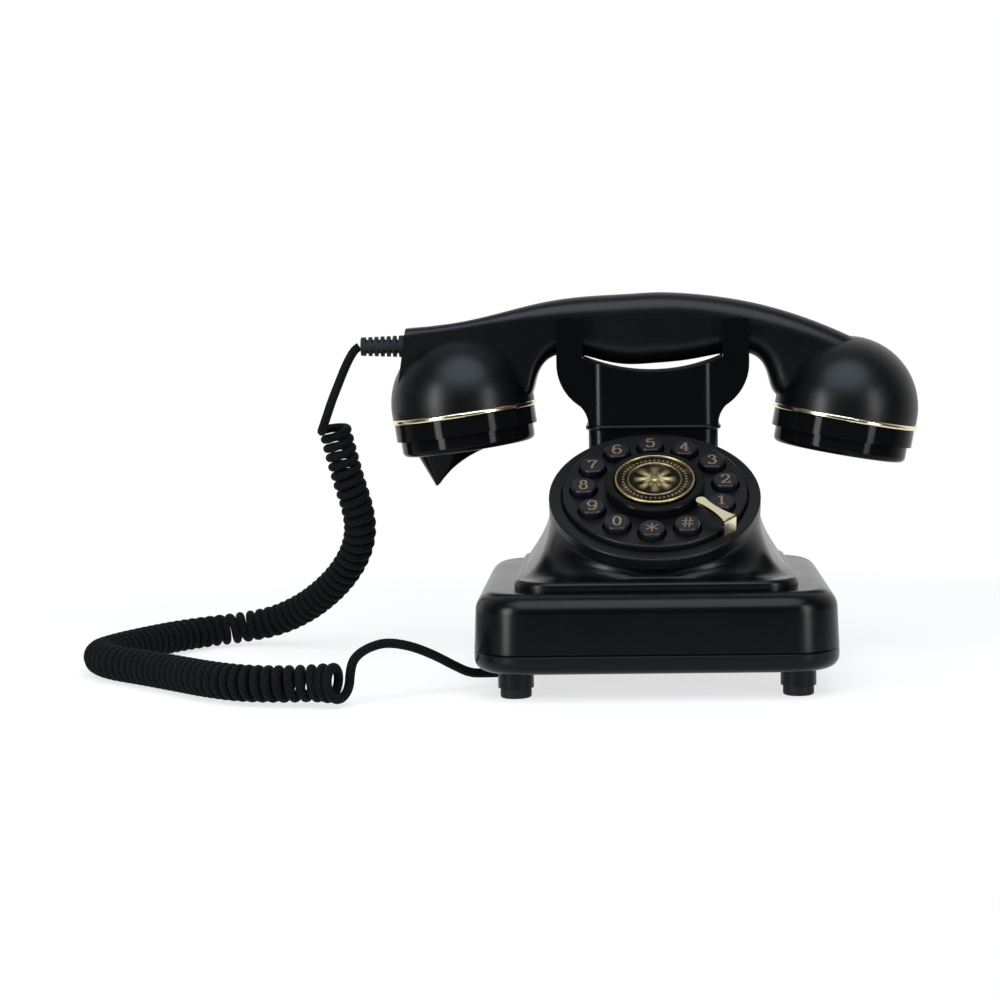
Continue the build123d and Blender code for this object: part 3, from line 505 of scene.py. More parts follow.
@dataclass(frozen=True)
class AgedBrassFinish:
    """Brass that is rubbed bright on its high places and dark in its hollows.

    The mesh's own relief attribute, from 0 in a hollow to 1 on a ridge, gives the wear.
    """

    name: str
    bright: Colour
    dark: Colour
    smudge: float = 0.35
    hollow_roughness: float = 0.56
    polish: float = 0.26
    grain_height: float = 0.00006

    def material(self, groups: Groups) -> bpy.types.Material:
        """Builds the finish.

        Args:
            groups: Shared node groups.

        Returns:
            A new material.
        """
        material, nodes, shader = new_material(self.name)
        lines = nodes.add("ShaderNodeGroup", node_tree=groups.scratches)
        grain = nodes.add("ShaderNodeGroup", node_tree=groups.grain)
        height = nodes.add("ShaderNodeAttribute", attribute_name=RELIEF).outputs["Fac"]
        smudge = nodes.math("MULTIPLY_ADD", lines.outputs["Tarnish"], 2 * self.smudge, -self.smudge)
        wear = nodes.math("ADD", height, smudge)
        wear = nodes.add("ShaderNodeClamp", {"Value": wear}).outputs[0]
        tone = nodes.blend(wear, shade(self.dark), shade(self.bright))
        gloss = nodes.math("MULTIPLY_ADD", wear, -self.polish, self.hollow_roughness)
        bump = nodes.bump(grain.outputs["Height"], self.grain_height)
        nodes.feed(shader, {"Base Color": tone, "Roughness": gloss, "Normal": bump})
        shader.inputs["Metallic"].default_value = 1.0
        return material


@dataclass(frozen=True)
class BraidFinish:
    """Braided thread: two sets of strands that cross on the cord's own map.

    Each set is a row of round ridges, sin of strands times turn plus or minus lay times length,
    and the higher of the two shows. Its colour runs from painted shade in the gaps between strands
    to a painted lighter crown on each strand.
    """

    name: str
    colour: Colour
    strands: float = 5.0
    lay: float = 5.0
    # painted shade in the gaps between strands and painted light on their crowns, as shares of the colour
    painted_gap_shade: float = 0.35
    painted_strand_light: float = 1.5
    strand_height: float = 0.0003
    roughness: float = 0.75
    specular: float = 0.07
    sheen: float = 0.01

    def material(self) -> bpy.types.Material:
        """Builds the finish from the cord's map, whose first number is length over girth.

        Returns:
            A new material.
        """
        material, nodes, shader = new_material(self.name)
        place = nodes.add("ShaderNodeUVMap").outputs[0]
        spot = nodes.add("ShaderNodeSeparateXYZ", {"Vector": place}).outputs
        turn = nodes.math("MULTIPLY", spot["Y"], 2 * pi * self.strands)
        reach = nodes.math("MULTIPLY", spot["X"], 2 * pi * self.lay)
        right = nodes.math("SINE", nodes.math("ADD", turn, reach))
        left = nodes.math("SINE", nodes.math("SUBTRACT", turn, reach))
        weave = nodes.math("MAXIMUM", right, left)
        level = nodes.math("MULTIPLY_ADD", weave, 0.5, 0.5)
        # painted shade in the gaps and a painted lighter crown on each strand, set by the weave's height
        gap, strand = shade(self.colour, self.painted_gap_shade), shade(self.colour, self.painted_strand_light)
        tone = nodes.blend(level, gap, strand)
        bump = nodes.bump(level, self.strand_height)
        nodes.feed(shader, {"Base Color": tone, "Normal": bump})
        shader.inputs["Roughness"].default_value = self.roughness
        shader.inputs["Specular IOR Level"].default_value = self.specular
        shader.inputs["Sheen Weight"].default_value = self.sheen
        return material


class Finishes:
    """All the finishes, built once and looked up by the record's slot."""

    def __init__(self) -> None:
        """Builds the shared groups and one material for each slot."""
        self.groups = Groups(GrainPlan().group(), ScratchPlan().group())
        satin = MouldedFinish("satin_black", (0.0013, 0.0014, 0.0018), 0.25, specular=0.15, speck=0.02)
        plans = {
            Slot.BODY: satin,
            Slot.GLOSS: MouldedFinish("gloss_black", (0.003, 0.003, 0.0035), 0.09, drift=0.03,
                                      grain_height=0.000004, specular=0.06),
            Slot.FACE: MouldedFinish("dial_black", (0.0030, 0.0032, 0.0040), 0.34, specular=0.18),
            Slot.KEY: MouldedFinish("key_black", (0.0040, 0.0045, 0.0060), 0.30, grain_height=0.00004,
                                    specular=0.25),
            Slot.RUBBER: MouldedFinish("foot_rubber", (0.005, 0.005, 0.006), 0.6, grain_height=0.00005,
                                       specular=0.2),
            Slot.INNER: MouldedFinish("socket_plastic", (0.012, 0.012, 0.013), 0.45),
            Slot.BOARD: MouldedFinish("board_lacquer", (0.01, 0.10, 0.04), 0.3),
            Slot.DRIVER: MouldedFinish("driver_cone", (0.05, 0.05, 0.055), 0.6),
            Slot.GOLD: MetalFinish("pale_gold", (0.92, 0.84, 0.60), (0.78, 0.66, 0.40), 0.18),
            Slot.BRASS: AgedBrassFinish("aged_brass", (0.43, 0.335, 0.165), (0.012, 0.010, 0.007)),
            Slot.STEEL: MetalFinish("plated_steel", (0.60, 0.61, 0.63), (0.40, 0.40, 0.42), 0.3),
        }
        self.by_slot = {slot: plan.material(self.groups) for slot, plan in plans.items()}
        self.by_slot[Slot.BRAID] = BraidFinish("braided_black", (0.0020, 0.0022, 0.0029)).material()
        ink = MouldedFinish("copper_ink", (0.125, 0.082, 0.05), 0.5, grain_height=0.00001)
        self.ink = ink.material(self.groups)
        handset = replace(satin, name="handset_black", roughness=0.34, specular=0.21)
        cradle = replace(satin, name="cradle_black", rest=HandleRest()).material(self.groups)
        self.by_node = {"handset_shell": handset.material(self.groups),
                        "cradle_front": cradle, "cradle_rear": cradle}

    def dress_nodes(self, loaded: dict) -> None:
        """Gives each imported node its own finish, or else the finish of its slot.

        Args:
            loaded: What the frame holds.
        """
        for entry in loaded["record"]["subparts"]:
            slot = Slot(entry["material_slot"])
            dress(loaded["nodes"][entry["node"]], self.by_node.get(entry["node"], self.by_slot[slot]))
            LOG.info("node %s: %s", entry["node"], slot.value)


@dataclass
class CurlyCord:
    """Cord from the handset's boot, down a long row of curls, to the holder under the base.

    The routes are the control points of three smooth lines, in millimetres.
    """

    diameter: float = 3.6
    curl_radius: float = 5.4
    curl_gap: float = 0.62
    boot_gap: float = 1.0
    boot_axis: tuple[float, float] = (37.0, 142.2)
    holder: Point = (-65.0, -31.0, 6.2)
    handset_lead: tuple[Point, ...] = (
        (-132.2, 36.6, 141.2), (-134.7, 34.8, 137.0), (-136.9, 32.0, 131.8), (-139.0, 28.0, 125.6),
        (-141.4, 23.8, 118.8), (-143.3, 21.0, 112.4), (-145.2, 21.8, 107.4), (-146.8, 26.6, 104.6))
    curl_route: tuple[Point, ...] = (
        (-142.2, 37, 106.3), (-139.6, 38.6, 94.5), (-136.8, 41.2, 82), (-133.8, 45.4, 70.4),
        (-132.8, 50, 59.6), (-135.6, 55.8, 48.9), (-142.2, 62.8, 38.2), (-151.8, 71.8, 28.2),
        (-164, 82.2, 19), (-178.8, 91.4, 11.8), (-194.6, 95, 8.6), (-209.4, 88.6, 7.8),
        (-222, 73.8, 7.8), (-232.8, 54.6, 7.8), (-241.6, 35.4, 7.8), (-246.4, 15, 7.8),
        (-235.6, -4, 7.8), (-218, -19, 7.9), (-200.4, -36.2, 8), (-184.2, -54, 8.4),
        (-168.4, -67.2, 8.8), (-152.6, -72.4, 9.2), (-141.2, -73.6, 9.6), (-133, -74.6, 9.9),
        (-127.2, -77.6, 10.1))
    base_lead: tuple[Point, ...] = (
        (-123.8, -71.4, 16.2), (-121.4, -69.4, 20.2), (-116.8, -65.6, 22.8), (-110.2, -61, 24.1),
        (-101, -55.6, 21.7), (-92, -50, 17.0), (-84.2, -43.6, 11.4), (-78.2, -36, 7.0), (-72.2, -31.8, 6.2))
    braid_radius: float = 1.95
    swell_shares: tuple[float, ...] = (0.0, 0.55, 0.75, 0.965, 1.0)
    swell_sizes: tuple[float, ...] = (0.0, 0.0, 0.3, 0.3, 1.1)
    bend_window: int = 110
    widest_share: float = 0.2
    route_order: int = 3
    route_steps: int = 40
    curl_steps: int = 48
    lead_step: float = 0.9
    sides: int = 12
    stretch_low: Point = (-142.0, 37.0, 30.0)
    stretch_high: Point = (-142.0, 37.0, 138.0)

    def steered(self, name: str, points: Array) -> Array:
        """Points read from the smooth line that control points steer.

        Args:
            name: Name of the passing curve.
            points: Control points.

        Returns:
            Points on the line.
        """
        curve = bpy.data.curves.new(name, "CURVE")
        curve.dimensions = "3D"
        spline = curve.splines.new("NURBS")
        spline.points.add(len(points) - 1)
        spline.points.foreach_set("co", np.column_stack([points, np.ones(len(points))]).ravel())
        spline.order_u = self.route_order
        spline.use_endpoint_u = True
        spline.resolution_u = self.route_steps
        holder = bpy.data.objects.new(name, curve)
        mesh = bpy.data.meshes.new_from_object(holder)
        line = np.empty(len(mesh.vertices) * 3)
        mesh.vertices.foreach_get("co", line)
        bpy.data.objects.remove(holder)
        bpy.data.curves.remove(curve)
        bpy.data.meshes.remove(mesh)
        return line.reshape(-1, 3)

    def curls(self) -> tuple[Array, Array]:
        """A helix round the route's line, with its outward vectors.

        A point is the centre plus the radius times (side cos turn + (way x side) sin turn). The pitch is
        one cord and its gap, widened in a bend so that the inner side keeps the gap. The bend is evened
        over a short window and its share limited, and the radius swells at the far end.

        Returns:
            Points of the helix and the outward vector at each.
        """
        line = self.steered("curl_route", np.array(self.curl_route, float))
        ways = unit(np.gradient(line, axis=0))
        sides = carried(np.array([-1.0, 0.0, 0.0]), ways)
        runs = np.linalg.norm(np.diff(line, axis=0), axis=1)
        cosine = np.clip(np.sum(ways[1:] * ways[:-1], axis=1), -1, 1)
        evening = np.full(self.bend_window, 1 / self.bend_window)
        bends = np.convolve(np.arccos(cosine) / runs, evening, mode="same")
        pitch = self.diameter + self.curl_gap
        widening = np.minimum(self.curl_radius * bends, self.widest_share)
        turns = np.concatenate([[0.0], np.cumsum(runs * (1 - widening) / pitch)])
        across = np.cross(ways[-1], sides[-1])
        end_share = np.arctan2(-sides[-1][2], across[2]) / (2 * pi)
        count = round(turns[-1] - end_share) + end_share
        spots = np.linspace(0, turns[-1], int(count * self.curl_steps))
        angle = (spots * count / turns[-1] * 2 * pi)[:, None]

        def between(values: Array) -> Array:
            """Values of the line taken at the spots."""
            return np.stack([np.interp(spots, turns, values[:, k]) for k in range(3)], axis=1)

        side, way = unit(between(sides)), unit(between(ways))
        out = side * np.cos(angle) + np.cross(way, side) * np.sin(angle)
        swell = np.interp(spots / turns[-1], self.swell_shares, self.swell_sizes)
        helix = between(line) + (self.curl_radius + swell)[:, None] * out
        LOG.info("curls: %.1f turns, from %s to %s", count, helix[0].round(2), helix[-1].round(2))
        return helix, out

    def even(self, line: Array) -> Array:
        """A line's points spread at even steps along it.

        Args:
            line: Points in order.

        Returns:
            Points at even steps.
        """
        length = along(line)
        spots = np.linspace(0, length[-1], max(2, round(length[-1] / self.lead_step)))
        return np.stack([np.interp(spots, length, line[:, k]) for k in range(3)], axis=1)

    def path(self) -> tuple[Array, Array]:
        """The cord's whole middle line and a side vector at each point.

        Returns:
            Points in metres, and unit vectors square to the line.
        """
        helix, out = self.curls()
        boot_low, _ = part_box("handset_boot")
        boot_end = (boot_low[0] / MM - self.boot_gap, *self.boot_axis)
        upper_knots = np.array([boot_end, *self.handset_lead, helix[0]])
        lower_knots = np.array([helix[-1], *self.base_lead, self.holder])
        upper = self.even(self.steered("handset_lead", upper_knots))[:-1]
        lower = self.even(self.steered("base_lead", lower_knots))[1:]
        upper_sides = carried(out[0], unit(np.gradient(upper, axis=0))[::-1])[::-1]
        lower_sides = carried(out[-1], unit(np.gradient(lower, axis=0)))
        line = np.concatenate([upper, helix, lower])
        ways = unit(np.gradient(line, axis=0))
        sides = np.concatenate([upper_sides, out, lower_sides])
        sides = unit(sides - ways * np.sum(sides * ways, axis=1, keepdims=True))
        return line * MM, sides

    def build(self) -> bpy.types.Object:
        """A round tube on the whole line, with a map of length over girth and turn.

        A point is the line plus the radius times (side cos turn + (way x side) sin turn).

        Returns:
            The cord.
        """
        line, sides = self.path()
        ways = unit(np.gradient(line, axis=0))
        turn = np.linspace(0, 2 * pi, self.sides, endpoint=False)[None, :, None]
        radius = self.braid_radius * MM
        ring = sides[:, None] * np.cos(turn) + np.cross(ways, sides)[:, None] * np.sin(turn)
        points = line[:, None] + radius * ring
        rows = len(line)
        quads = grid_faces(rows, self.sides, False, True)[:, ::-1]
        first = np.arange(self.sides)
        last = (rows - 1) * self.sides + first
        faces = quads.tolist() + [first[::-1].tolist(), last.tolist()]
        cord = make_object("curly_cord", points, faces)
        self.write_map(cord, quads, along(line) / (2 * pi * radius))
        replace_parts(cord, "cord_handset_lead", "cord_curls", "cord_base_lead")
        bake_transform(cord)
        return cord

    def write_map(self, cord: bpy.types.Object, quads: Array, lengths: Array) -> None:
        """Writes the cord's map: length over girth, and share of a turn.

        Args:
            cord: The tube.
            quads: Its side faces, in the order of the mesh.
            lengths: Length over girth at each station.
        """
        row, column = quads // self.sides, quads % self.sides
        wraps = (column.max(axis=1, keepdims=True) - column.min(axis=1, keepdims=True)) > 1
        column = np.where(wraps & (column == 0), self.sides, column)
        spots = np.stack([lengths[row], column / self.sides], axis=-1).reshape(-1, 2)
        layer = cord.data.uv_layers.new(name="cord_map")
        values = np.zeros((len(cord.data.loops), 2))
        values[:len(spots)] = spots
        layer.data.foreach_set("uv", values.ravel())

    def dress(self, finishes: Finishes) -> None:
        """Builds the cord and gives it its braid.

        Args:
            finishes: Finishes of the telephone.
        """
        cord = self.build()
        dress(cord, finishes.by_slot[Slot.BRAID])


@dataclass(frozen=True)
class Dial:
    """Place of the dial's face and of the keys on it, in millimetres and degrees."""

    centre: Point = (0.0, -22.0, 80.0)
    tilt: float = 31.5
    ring_radius: float = 30.0
    first_angle: float = 93.0
    step: float = 29.0
    gap_index: int = 8
    key_top: float = 5.5
    names: tuple[str, ...] = ("5", "6", "7", "8", "9", "0", "star", "hash", "1", "2", "3", "4")

    def place(self, local: Array) -> Array:
        """Points given on the dial's face, moved to their place on the telephone.

        Args:
            local: Rows of across, up the face, and out of the face, in millimetres.

        Returns:
            Rows of places in metres.
        """
        lean = radians(self.tilt)
        axes = np.array([[1, 0, 0], [0, np.cos(lean), np.sin(lean)], [0, -np.sin(lean), np.cos(lean)]])
        return (np.array(self.centre) + local @ axes) * MM

    def key_centres(self) -> dict[str, Array]:
        """Middle of each key, on a ring at even steps of angle with one wider gap.

        Returns:
            Places across and up the face, by the key's name.
        """
        index = np.arange(len(self.names))
        angles = self.first_angle + self.step * index
        gap = 360 - len(index) * self.step
        angles = radians(1) * np.where(index < self.gap_index, angles, angles + gap)
        spots = self.ring_radius * np.stack([np.cos(angles), np.sin(angles)], axis=1)
        return dict(zip(self.names, spots))


def signed_volume(points: Array, quads: Array) -> float:
    """Volume inside closed quads, below zero where they face inwards.

    Args:
        points: Corner places.
        quads: Rows of four corner numbers.

    Returns:
        The sum of the pyramids from the origin to each face.
    """
    a, b, c, d = (points[quads[:, k]] for k in range(4))
    halves = np.sum(a * np.cross(b, c), axis=1) + np.sum(a * np.cross(c, d), axis=1)
    return float(halves.sum() / 6)


@dataclass(frozen=True)
class Stroke:
    """One pen stroke of a numeral, through points in a box one high."""

    points: tuple[tuple[float, float], ...]
    closed: bool = False
    weight: float = 1.0
    steps: int = 8
    straight_points: int = 3

    def line(self) -> Array:
        """Points on the stroke, a smooth cubic through each four neighbours in turn.

        Returns:
            Rows of across and up.
        """
        knots = np.array(self.points, float)
        if len(knots) == 2:
            return np.linspace(knots[0], knots[1], self.straight_points)
        if self.closed:
            around = np.concatenate([knots[-1:], knots, knots[:2]])
        else:
            around = np.concatenate([2 * knots[:1] - knots[1:2], knots, 2 * knots[-1:] - knots[-2:-1]])
        before, start, end, after = around[:-3], around[1:-2], around[2:-1], around[3:]
        u = np.linspace(0, 1, self.steps, endpoint=False)[None, :, None]
        before, start, end, after = (part[:, None] for part in (before, start, end, after))
        cubic = 0.5 * (2 * start + (end - before) * u + (2 * before - 5 * start + 4 * end - after) * u ** 2
                       + (3 * start - before - 3 * end + after) * u ** 3)
        line = cubic.reshape(-1, 2)
        return line if self.closed else np.concatenate([line, knots[-1:]])


def oval(middle: float, half_width: float, half_height: float, count: int = 12) -> Stroke:
    """A closed oval stroke.

    Args:
        middle: Height of its middle.
        half_width: Half of its width.
        half_height: Half of its height.
        count: Points that it passes.

    Returns:
        The stroke.
    """
    turn = np.linspace(0, 2 * pi, count, endpoint=False)
    spots = np.stack([half_width * np.cos(turn), middle + half_height * np.sin(turn)], axis=1)
    return Stroke(tuple(map(tuple, spots)), True)


SIX = ((0.21, 0.34), (0.10, 0.46), (-0.06, 0.46), (-0.21, 0.28), (-0.27, 0.0), (-0.25, -0.28),
       (-0.10, -0.46), (0.10, -0.46), (0.25, -0.28), (0.23, -0.04), (0.08, 0.10), (-0.12, 0.06),
       (-0.25, -0.14))
NUMERALS = {
    "1": (Stroke(((0.02, 0.47), (0.02, -0.45))), Stroke(((-0.18, 0.33), (-0.08, 0.36), (0.02, 0.45))),
          Stroke(((-0.20, -0.46), (0.24, -0.46)))),
    "2": (Stroke(((-0.22, 0.22), (-0.20, 0.38), (-0.02, 0.47), (0.20, 0.38), (0.22, 0.16), (0.06, -0.10),
                  (-0.14, -0.28), (-0.26, -0.44))), Stroke(((-0.27, -0.43), (0.24, -0.43))),
          Stroke(((0.24, -0.45), (0.28, -0.24)))),
    "3": (Stroke(((-0.21, 0.28), (-0.14, 0.42), (0.02, 0.47), (0.19, 0.36), (0.18, 0.14), (0.0, 0.04))),
          Stroke(((0.0, 0.04), (0.20, -0.04), (0.25, -0.26), (0.09, -0.45), (-0.12, -0.45),
                  (-0.24, -0.29)))),
    "4": (Stroke(((0.10, 0.46), (-0.28, -0.18))), Stroke(((-0.30, -0.19), (0.29, -0.19))),
          Stroke(((0.10, 0.47), (0.10, -0.45))), Stroke(((-0.06, -0.46), (0.26, -0.46)))),
    "5": (Stroke(((-0.18, 0.44), (0.22, 0.44))), Stroke(((-0.18, 0.46), (-0.20, 0.04))),
          Stroke(((-0.20, 0.06), (-0.04, 0.14), (0.16, 0.10), (0.25, -0.13), (0.17, -0.37), (-0.01, -0.46),
                  (-0.18, -0.40), (-0.24, -0.27)))),
    "6": (Stroke(SIX),),
    "7": (Stroke(((-0.25, 0.43), (0.27, 0.43))), Stroke(((-0.25, 0.47), (-0.26, 0.24))),
          Stroke(((0.26, 0.43), (0.10, 0.12), (-0.02, -0.16), (-0.05, -0.46)))),
    "8": (oval(0.24, 0.18, 0.21), oval(-0.21, 0.23, 0.25)),
    "9": (Stroke(tuple((-x, -y) for x, y in SIX)),),
    "0": (oval(0.0, 0.23, 0.45),),
    "star": (Stroke(((0.0, 0.42), (0.0, -0.42)), weight=0.6),
             Stroke(((-0.38, 0.23), (0.38, -0.23)), weight=0.7),
             Stroke(((-0.38, -0.23), (0.38, 0.23)), weight=0.7)),
    "hash": (Stroke(((-0.07, 0.48), (-0.19, -0.48)), weight=0.65),
             Stroke(((0.21, 0.48), (0.09, -0.48)), weight=0.65),
             Stroke(((-0.38, 0.17), (0.40, 0.17))), Stroke(((-0.40, -0.17), (0.38, -0.17)))),
}


@dataclass
class KeyNumerals:
    """Raised printed numeral on each key, drawn with a broad pen, in millimetres."""

    dial: Dial
    height: float = 6.4
    thick: float = 0.92
    thin: float = 0.46
    sunk: float = 0.04
    proud: float = 0.08

    def ribbon(self, stroke: Stroke) -> tuple[Array, Array]:
        """A flat bar along one stroke.

        The half width grows from thin to thick with the upright part of the stroke's direction, and the
        section is a rectangle that stands from a little below the key's top to a little above it.

        Args:
            stroke: The pen stroke.

        Returns:
            Corner places on the dial's face, and quads that face outwards.
        """
        line = stroke.line() * self.height
        padded = np.concatenate([line[-1:], line, line[:1]]) if stroke.closed else line
        ways = unit(np.gradient(padded, axis=0))
        ways = ways[1:-1] if stroke.closed else ways
        half = stroke.weight * (self.thin + (self.thick - self.thin) * np.abs(ways[:, 1:])) / 2
        across = np.stack([-ways[:, 1], ways[:, 0]], axis=1) * half
        low, high = self.dial.key_top - self.sunk, self.dial.key_top + self.proud
        corners = [(line - across, low), (line - across, high), (line + across, high), (line + across, low)]
        points = np.stack([np.column_stack([spot, np.full(len(line), z)]) for spot, z in corners], axis=1)
        quads = bar_faces(len(line), len(corners), stroke.closed)
        points = points.reshape(-1, 3)
        return points, quads if signed_volume(points, quads) > 0 else quads[:, ::-1]

    def build(self, name: str) -> bpy.types.Object:
        """The numeral of one key, on the body of that key.

        Args:
            name: Name of the key.

        Returns:
            The numeral.
        """
        parts = [self.ribbon(stroke) for stroke in NUMERALS[name]]
        starts = np.cumsum([0] + [len(points) for points, _ in parts[:-1]])
        points = np.concatenate([points for points, _ in parts])
        quads = np.concatenate([quads + start for (_, quads), start in zip(parts, starts)])
        points[:, :2] += self.dial.key_centres()[name]
        numeral = make_object("numeral_" + name, self.dial.place(points), quads.tolist(), smooth=False)
        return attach(numeral, "key_" + name)

    def dress(self, finishes: Finishes) -> None:
        """Builds every numeral and gives it its ink.

        Args:
            finishes: Finishes of the telephone.
        """
        for name in self.dial.names:
            numeral = self.build(name)
            dress(numeral, finishes.ink)


def smooth_step(low: float, high: float, values: Array) -> Array:
    """Rise from 0 to 1 between two values, level at both ends."""
    share = np.clip((values - low) / (high - low), 0, 1)
    return share * share * (3 - 2 * share)


@dataclass
class Medallion:
    """Cast brass face of the centre button: rim, row of beads, inner ring and a rosette, in millimetres."""

    dial: Dial
    radius: float = 17.0
    bottom: float = 6.1
    field_height: float = 8.05
    rim_width: float = 0.95
    rim_rise: float = 0.62
    rim_inside: float = 0.35
    rim_outside: float = 0.2
    edge_round: float = 0.7
    edge_steps: int = 6
    ring_radius: float = 11.2
    ring_width: float = 0.34
    ring_rise: float = 0.5
    bead_radius: float = 13.35
    bead_width: float = 0.62
    bead_rise: float = 0.3
    bead_power: float = 1.4
    beads: int = 44
    petals: int = 8
    petal_reach: float = 9.4
    petal_rise: float = 0.62
    petal_power: float = 1.2
    leaf_reach: float = 0.62
    leaf_rise: float = 0.8
    vein_width: float = 0.45
    vein_depth: float = 0.25
    boss_radius: float = 1.9
    boss_rise: float = 0.75
    boss_power: int = 4
    hub: float = 0.2
    rings: int = 150
    spokes: int = 352

    def relief(self, r: Array, turn: Array) -> Array:
        """Height over the field at a radius and a turn.

        The rim is a smooth step. The inner ring is a bell over radius. A bead is a bell over radius times a
        cosine over turn. A petal is a half sine over radius times a cosine over turn, less a bell along
        its vein, with a second, shorter set between the first. The boss is a steep bell round the middle.

        Args:
            r: Radius.
            turn: Angle.

        Returns:
            Heights.
        """
        inner = self.radius - self.rim_width
        rim = self.rim_rise * smooth_step(inner - self.rim_inside, inner + self.rim_outside, r)
        ring = self.ring_rise * np.exp(-((r - self.ring_radius) / self.ring_width) ** 2)
        row = self.bead_rise * np.exp(-((r - self.bead_radius) / self.bead_width) ** 2)
        bead = row * (0.5 + 0.5 * np.cos(self.beads * turn)) ** self.bead_power
        long_reach = np.sin(pi * np.clip(r / self.petal_reach, 0, 1))
        short_reach = np.sin(pi * np.clip(r / (self.leaf_reach * self.petal_reach), 0, 1))
        wave = np.cos(self.petals * turn)
        petal = self.petal_rise * long_reach * (0.5 + 0.5 * wave) ** self.petal_power
        crease = np.exp(-(np.sin(self.petals * turn / 2) * r / self.vein_width) ** 2)
        vein = self.vein_depth * long_reach * crease
        leaf = self.leaf_rise * self.petal_rise * short_reach * (0.5 - 0.5 * wave) ** self.petal_power
        boss = self.boss_rise * np.exp(-(r / self.boss_radius) ** self.boss_power)
        return rim + ring + bead + np.maximum(np.maximum(petal - vein, leaf), boss)

    def build(self) -> bpy.types.Object:
        """The relief on a grid of radius and turn, with a rounded edge, a side and a flat back.

        Returns:
            The medallion, on the rocker.
        """
        turn = np.linspace(0, 2 * pi, self.spokes, endpoint=False)
        flat = np.linspace(self.hub, self.radius - self.edge_round, self.rings)
        top = self.field_height + self.relief(flat[:, None], turn[None, :])
        quarter = np.linspace(0, pi / 2, self.edge_steps + 1)[1:]
        edge_r = self.radius - self.edge_round * (1 - np.sin(quarter))
        edge_z = top[-1].mean() - self.edge_round * (1 - np.cos(quarter))
        radii = np.concatenate([flat, edge_r, [self.radius, self.hub]])
        below = np.concatenate([edge_z, [self.bottom, self.bottom]])
        heights = np.concatenate([top, np.repeat(below[:, None], self.spokes, axis=1)])
        points = np.stack([radii[:, None] * np.cos(turn), radii[:, None] * np.sin(turn), heights], axis=-1)
        quads = grid_faces(len(radii), self.spokes, False, True)
        first = np.arange(self.spokes)
        last = (len(radii) - 1) * self.spokes + first
        faces = quads.tolist() + [first.tolist(), last[::-1].tolist()]
        disc = make_object("medallion_relief", self.dial.place(points.reshape(-1, 3)), faces)
        level = np.clip((heights - self.field_height) / self.rim_rise, 0, 1).astype(np.float32)
        layer = disc.data.attributes.new(RELIEF, "FLOAT", "POINT")
        layer.data.foreach_set("value", level.ravel())
        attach(disc, Body.ROCKER.value)
        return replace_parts(disc, "rocker_medallion")

    def dress(self, finishes: Finishes) -> None:
        """Builds the medallion and gives it its aged brass.

        Args:
            finishes: Finishes of the telephone.
        """
        disc = self.build()
        dress(disc, finishes.by_slot[Slot.BRASS])


@dataclass
class LineContacts:
    """Four gold wires that slope from the roof of the line socket to its inner wall, in millimetres."""

    count: int = 4
    spacing: float = 1.6
    middle: float = 28.0
    half_width: float = 0.28
    mouth_end: tuple[float, float] = (72.6, 32.4)
    inner_end: tuple[float, float] = (61.9, 28.4)

    def build(self) -> bpy.types.Object:
        """Bars with a square section, side by side, each from its mouth end to its inner end.

        Returns:
            The wires, on the base.
        """
        corners = self.half_width * np.array([[-1, -1], [1, -1], [1, 1], [-1, 1]])
        across = self.middle + self.spacing * (np.arange(self.count) - (self.count - 1) / 2)
        ends = np.array([self.mouth_end, self.inner_end])
        x = across[:, None, None] + corners[:, 0]
        y = ends[:, :1]
        z = ends[:, 1:] + corners[:, 1]
        points = np.stack(np.broadcast_arrays(x, y, z), axis=-1).reshape(-1, 3) * MM
        bar = bar_faces(len(ends), len(corners), False)
        bar = bar if signed_volume(points, bar) > 0 else bar[:, ::-1]
        starts = len(ends) * len(corners) * np.arange(self.count)
        quads = np.concatenate([bar + start for start in starts])
        wires = make_object("line_contacts", points, quads.tolist(), smooth=False)
        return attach(wires, Body.BASE.value)

    def dress(self, finishes: Finishes) -> None:
        """Builds the wires and gives them their gold.

        Args:
            finishes: Finishes of the telephone.
        """
        wires = self.build()
        dress(wires, finishes.by_slot[Slot.GOLD])


@dataclass(frozen=True)
class SoftBox:
    """One soft lamp: where it stands, what it faces, its sides in metres and its power."""

    name: str
    place: Point
    target: Point
    width: float
    height: float
    power: float
    colour: Colour = (1.0, 1.0, 1.0)
    shape: str = "RECTANGLE"

    def build(self) -> None:
        """Adds the lamp to the scene."""
        lamp = bpy.data.lights.new(self.name, "AREA")
        lamp.shape = self.shape
        lamp.size = self.width
        lamp.size_y = self.height
        lamp.energy = self.power
        lamp.color = self.colour
        holder = bpy.data.objects.new(self.name, lamp)
        facing = (Vector(self.target) - Vector(self.place)).to_track_quat("-Z", "Y")
        holder.matrix_world = Matrix.Translation(self.place) @ facing.to_matrix().to_4x4()
        bpy.context.scene.collection.objects.link(holder)


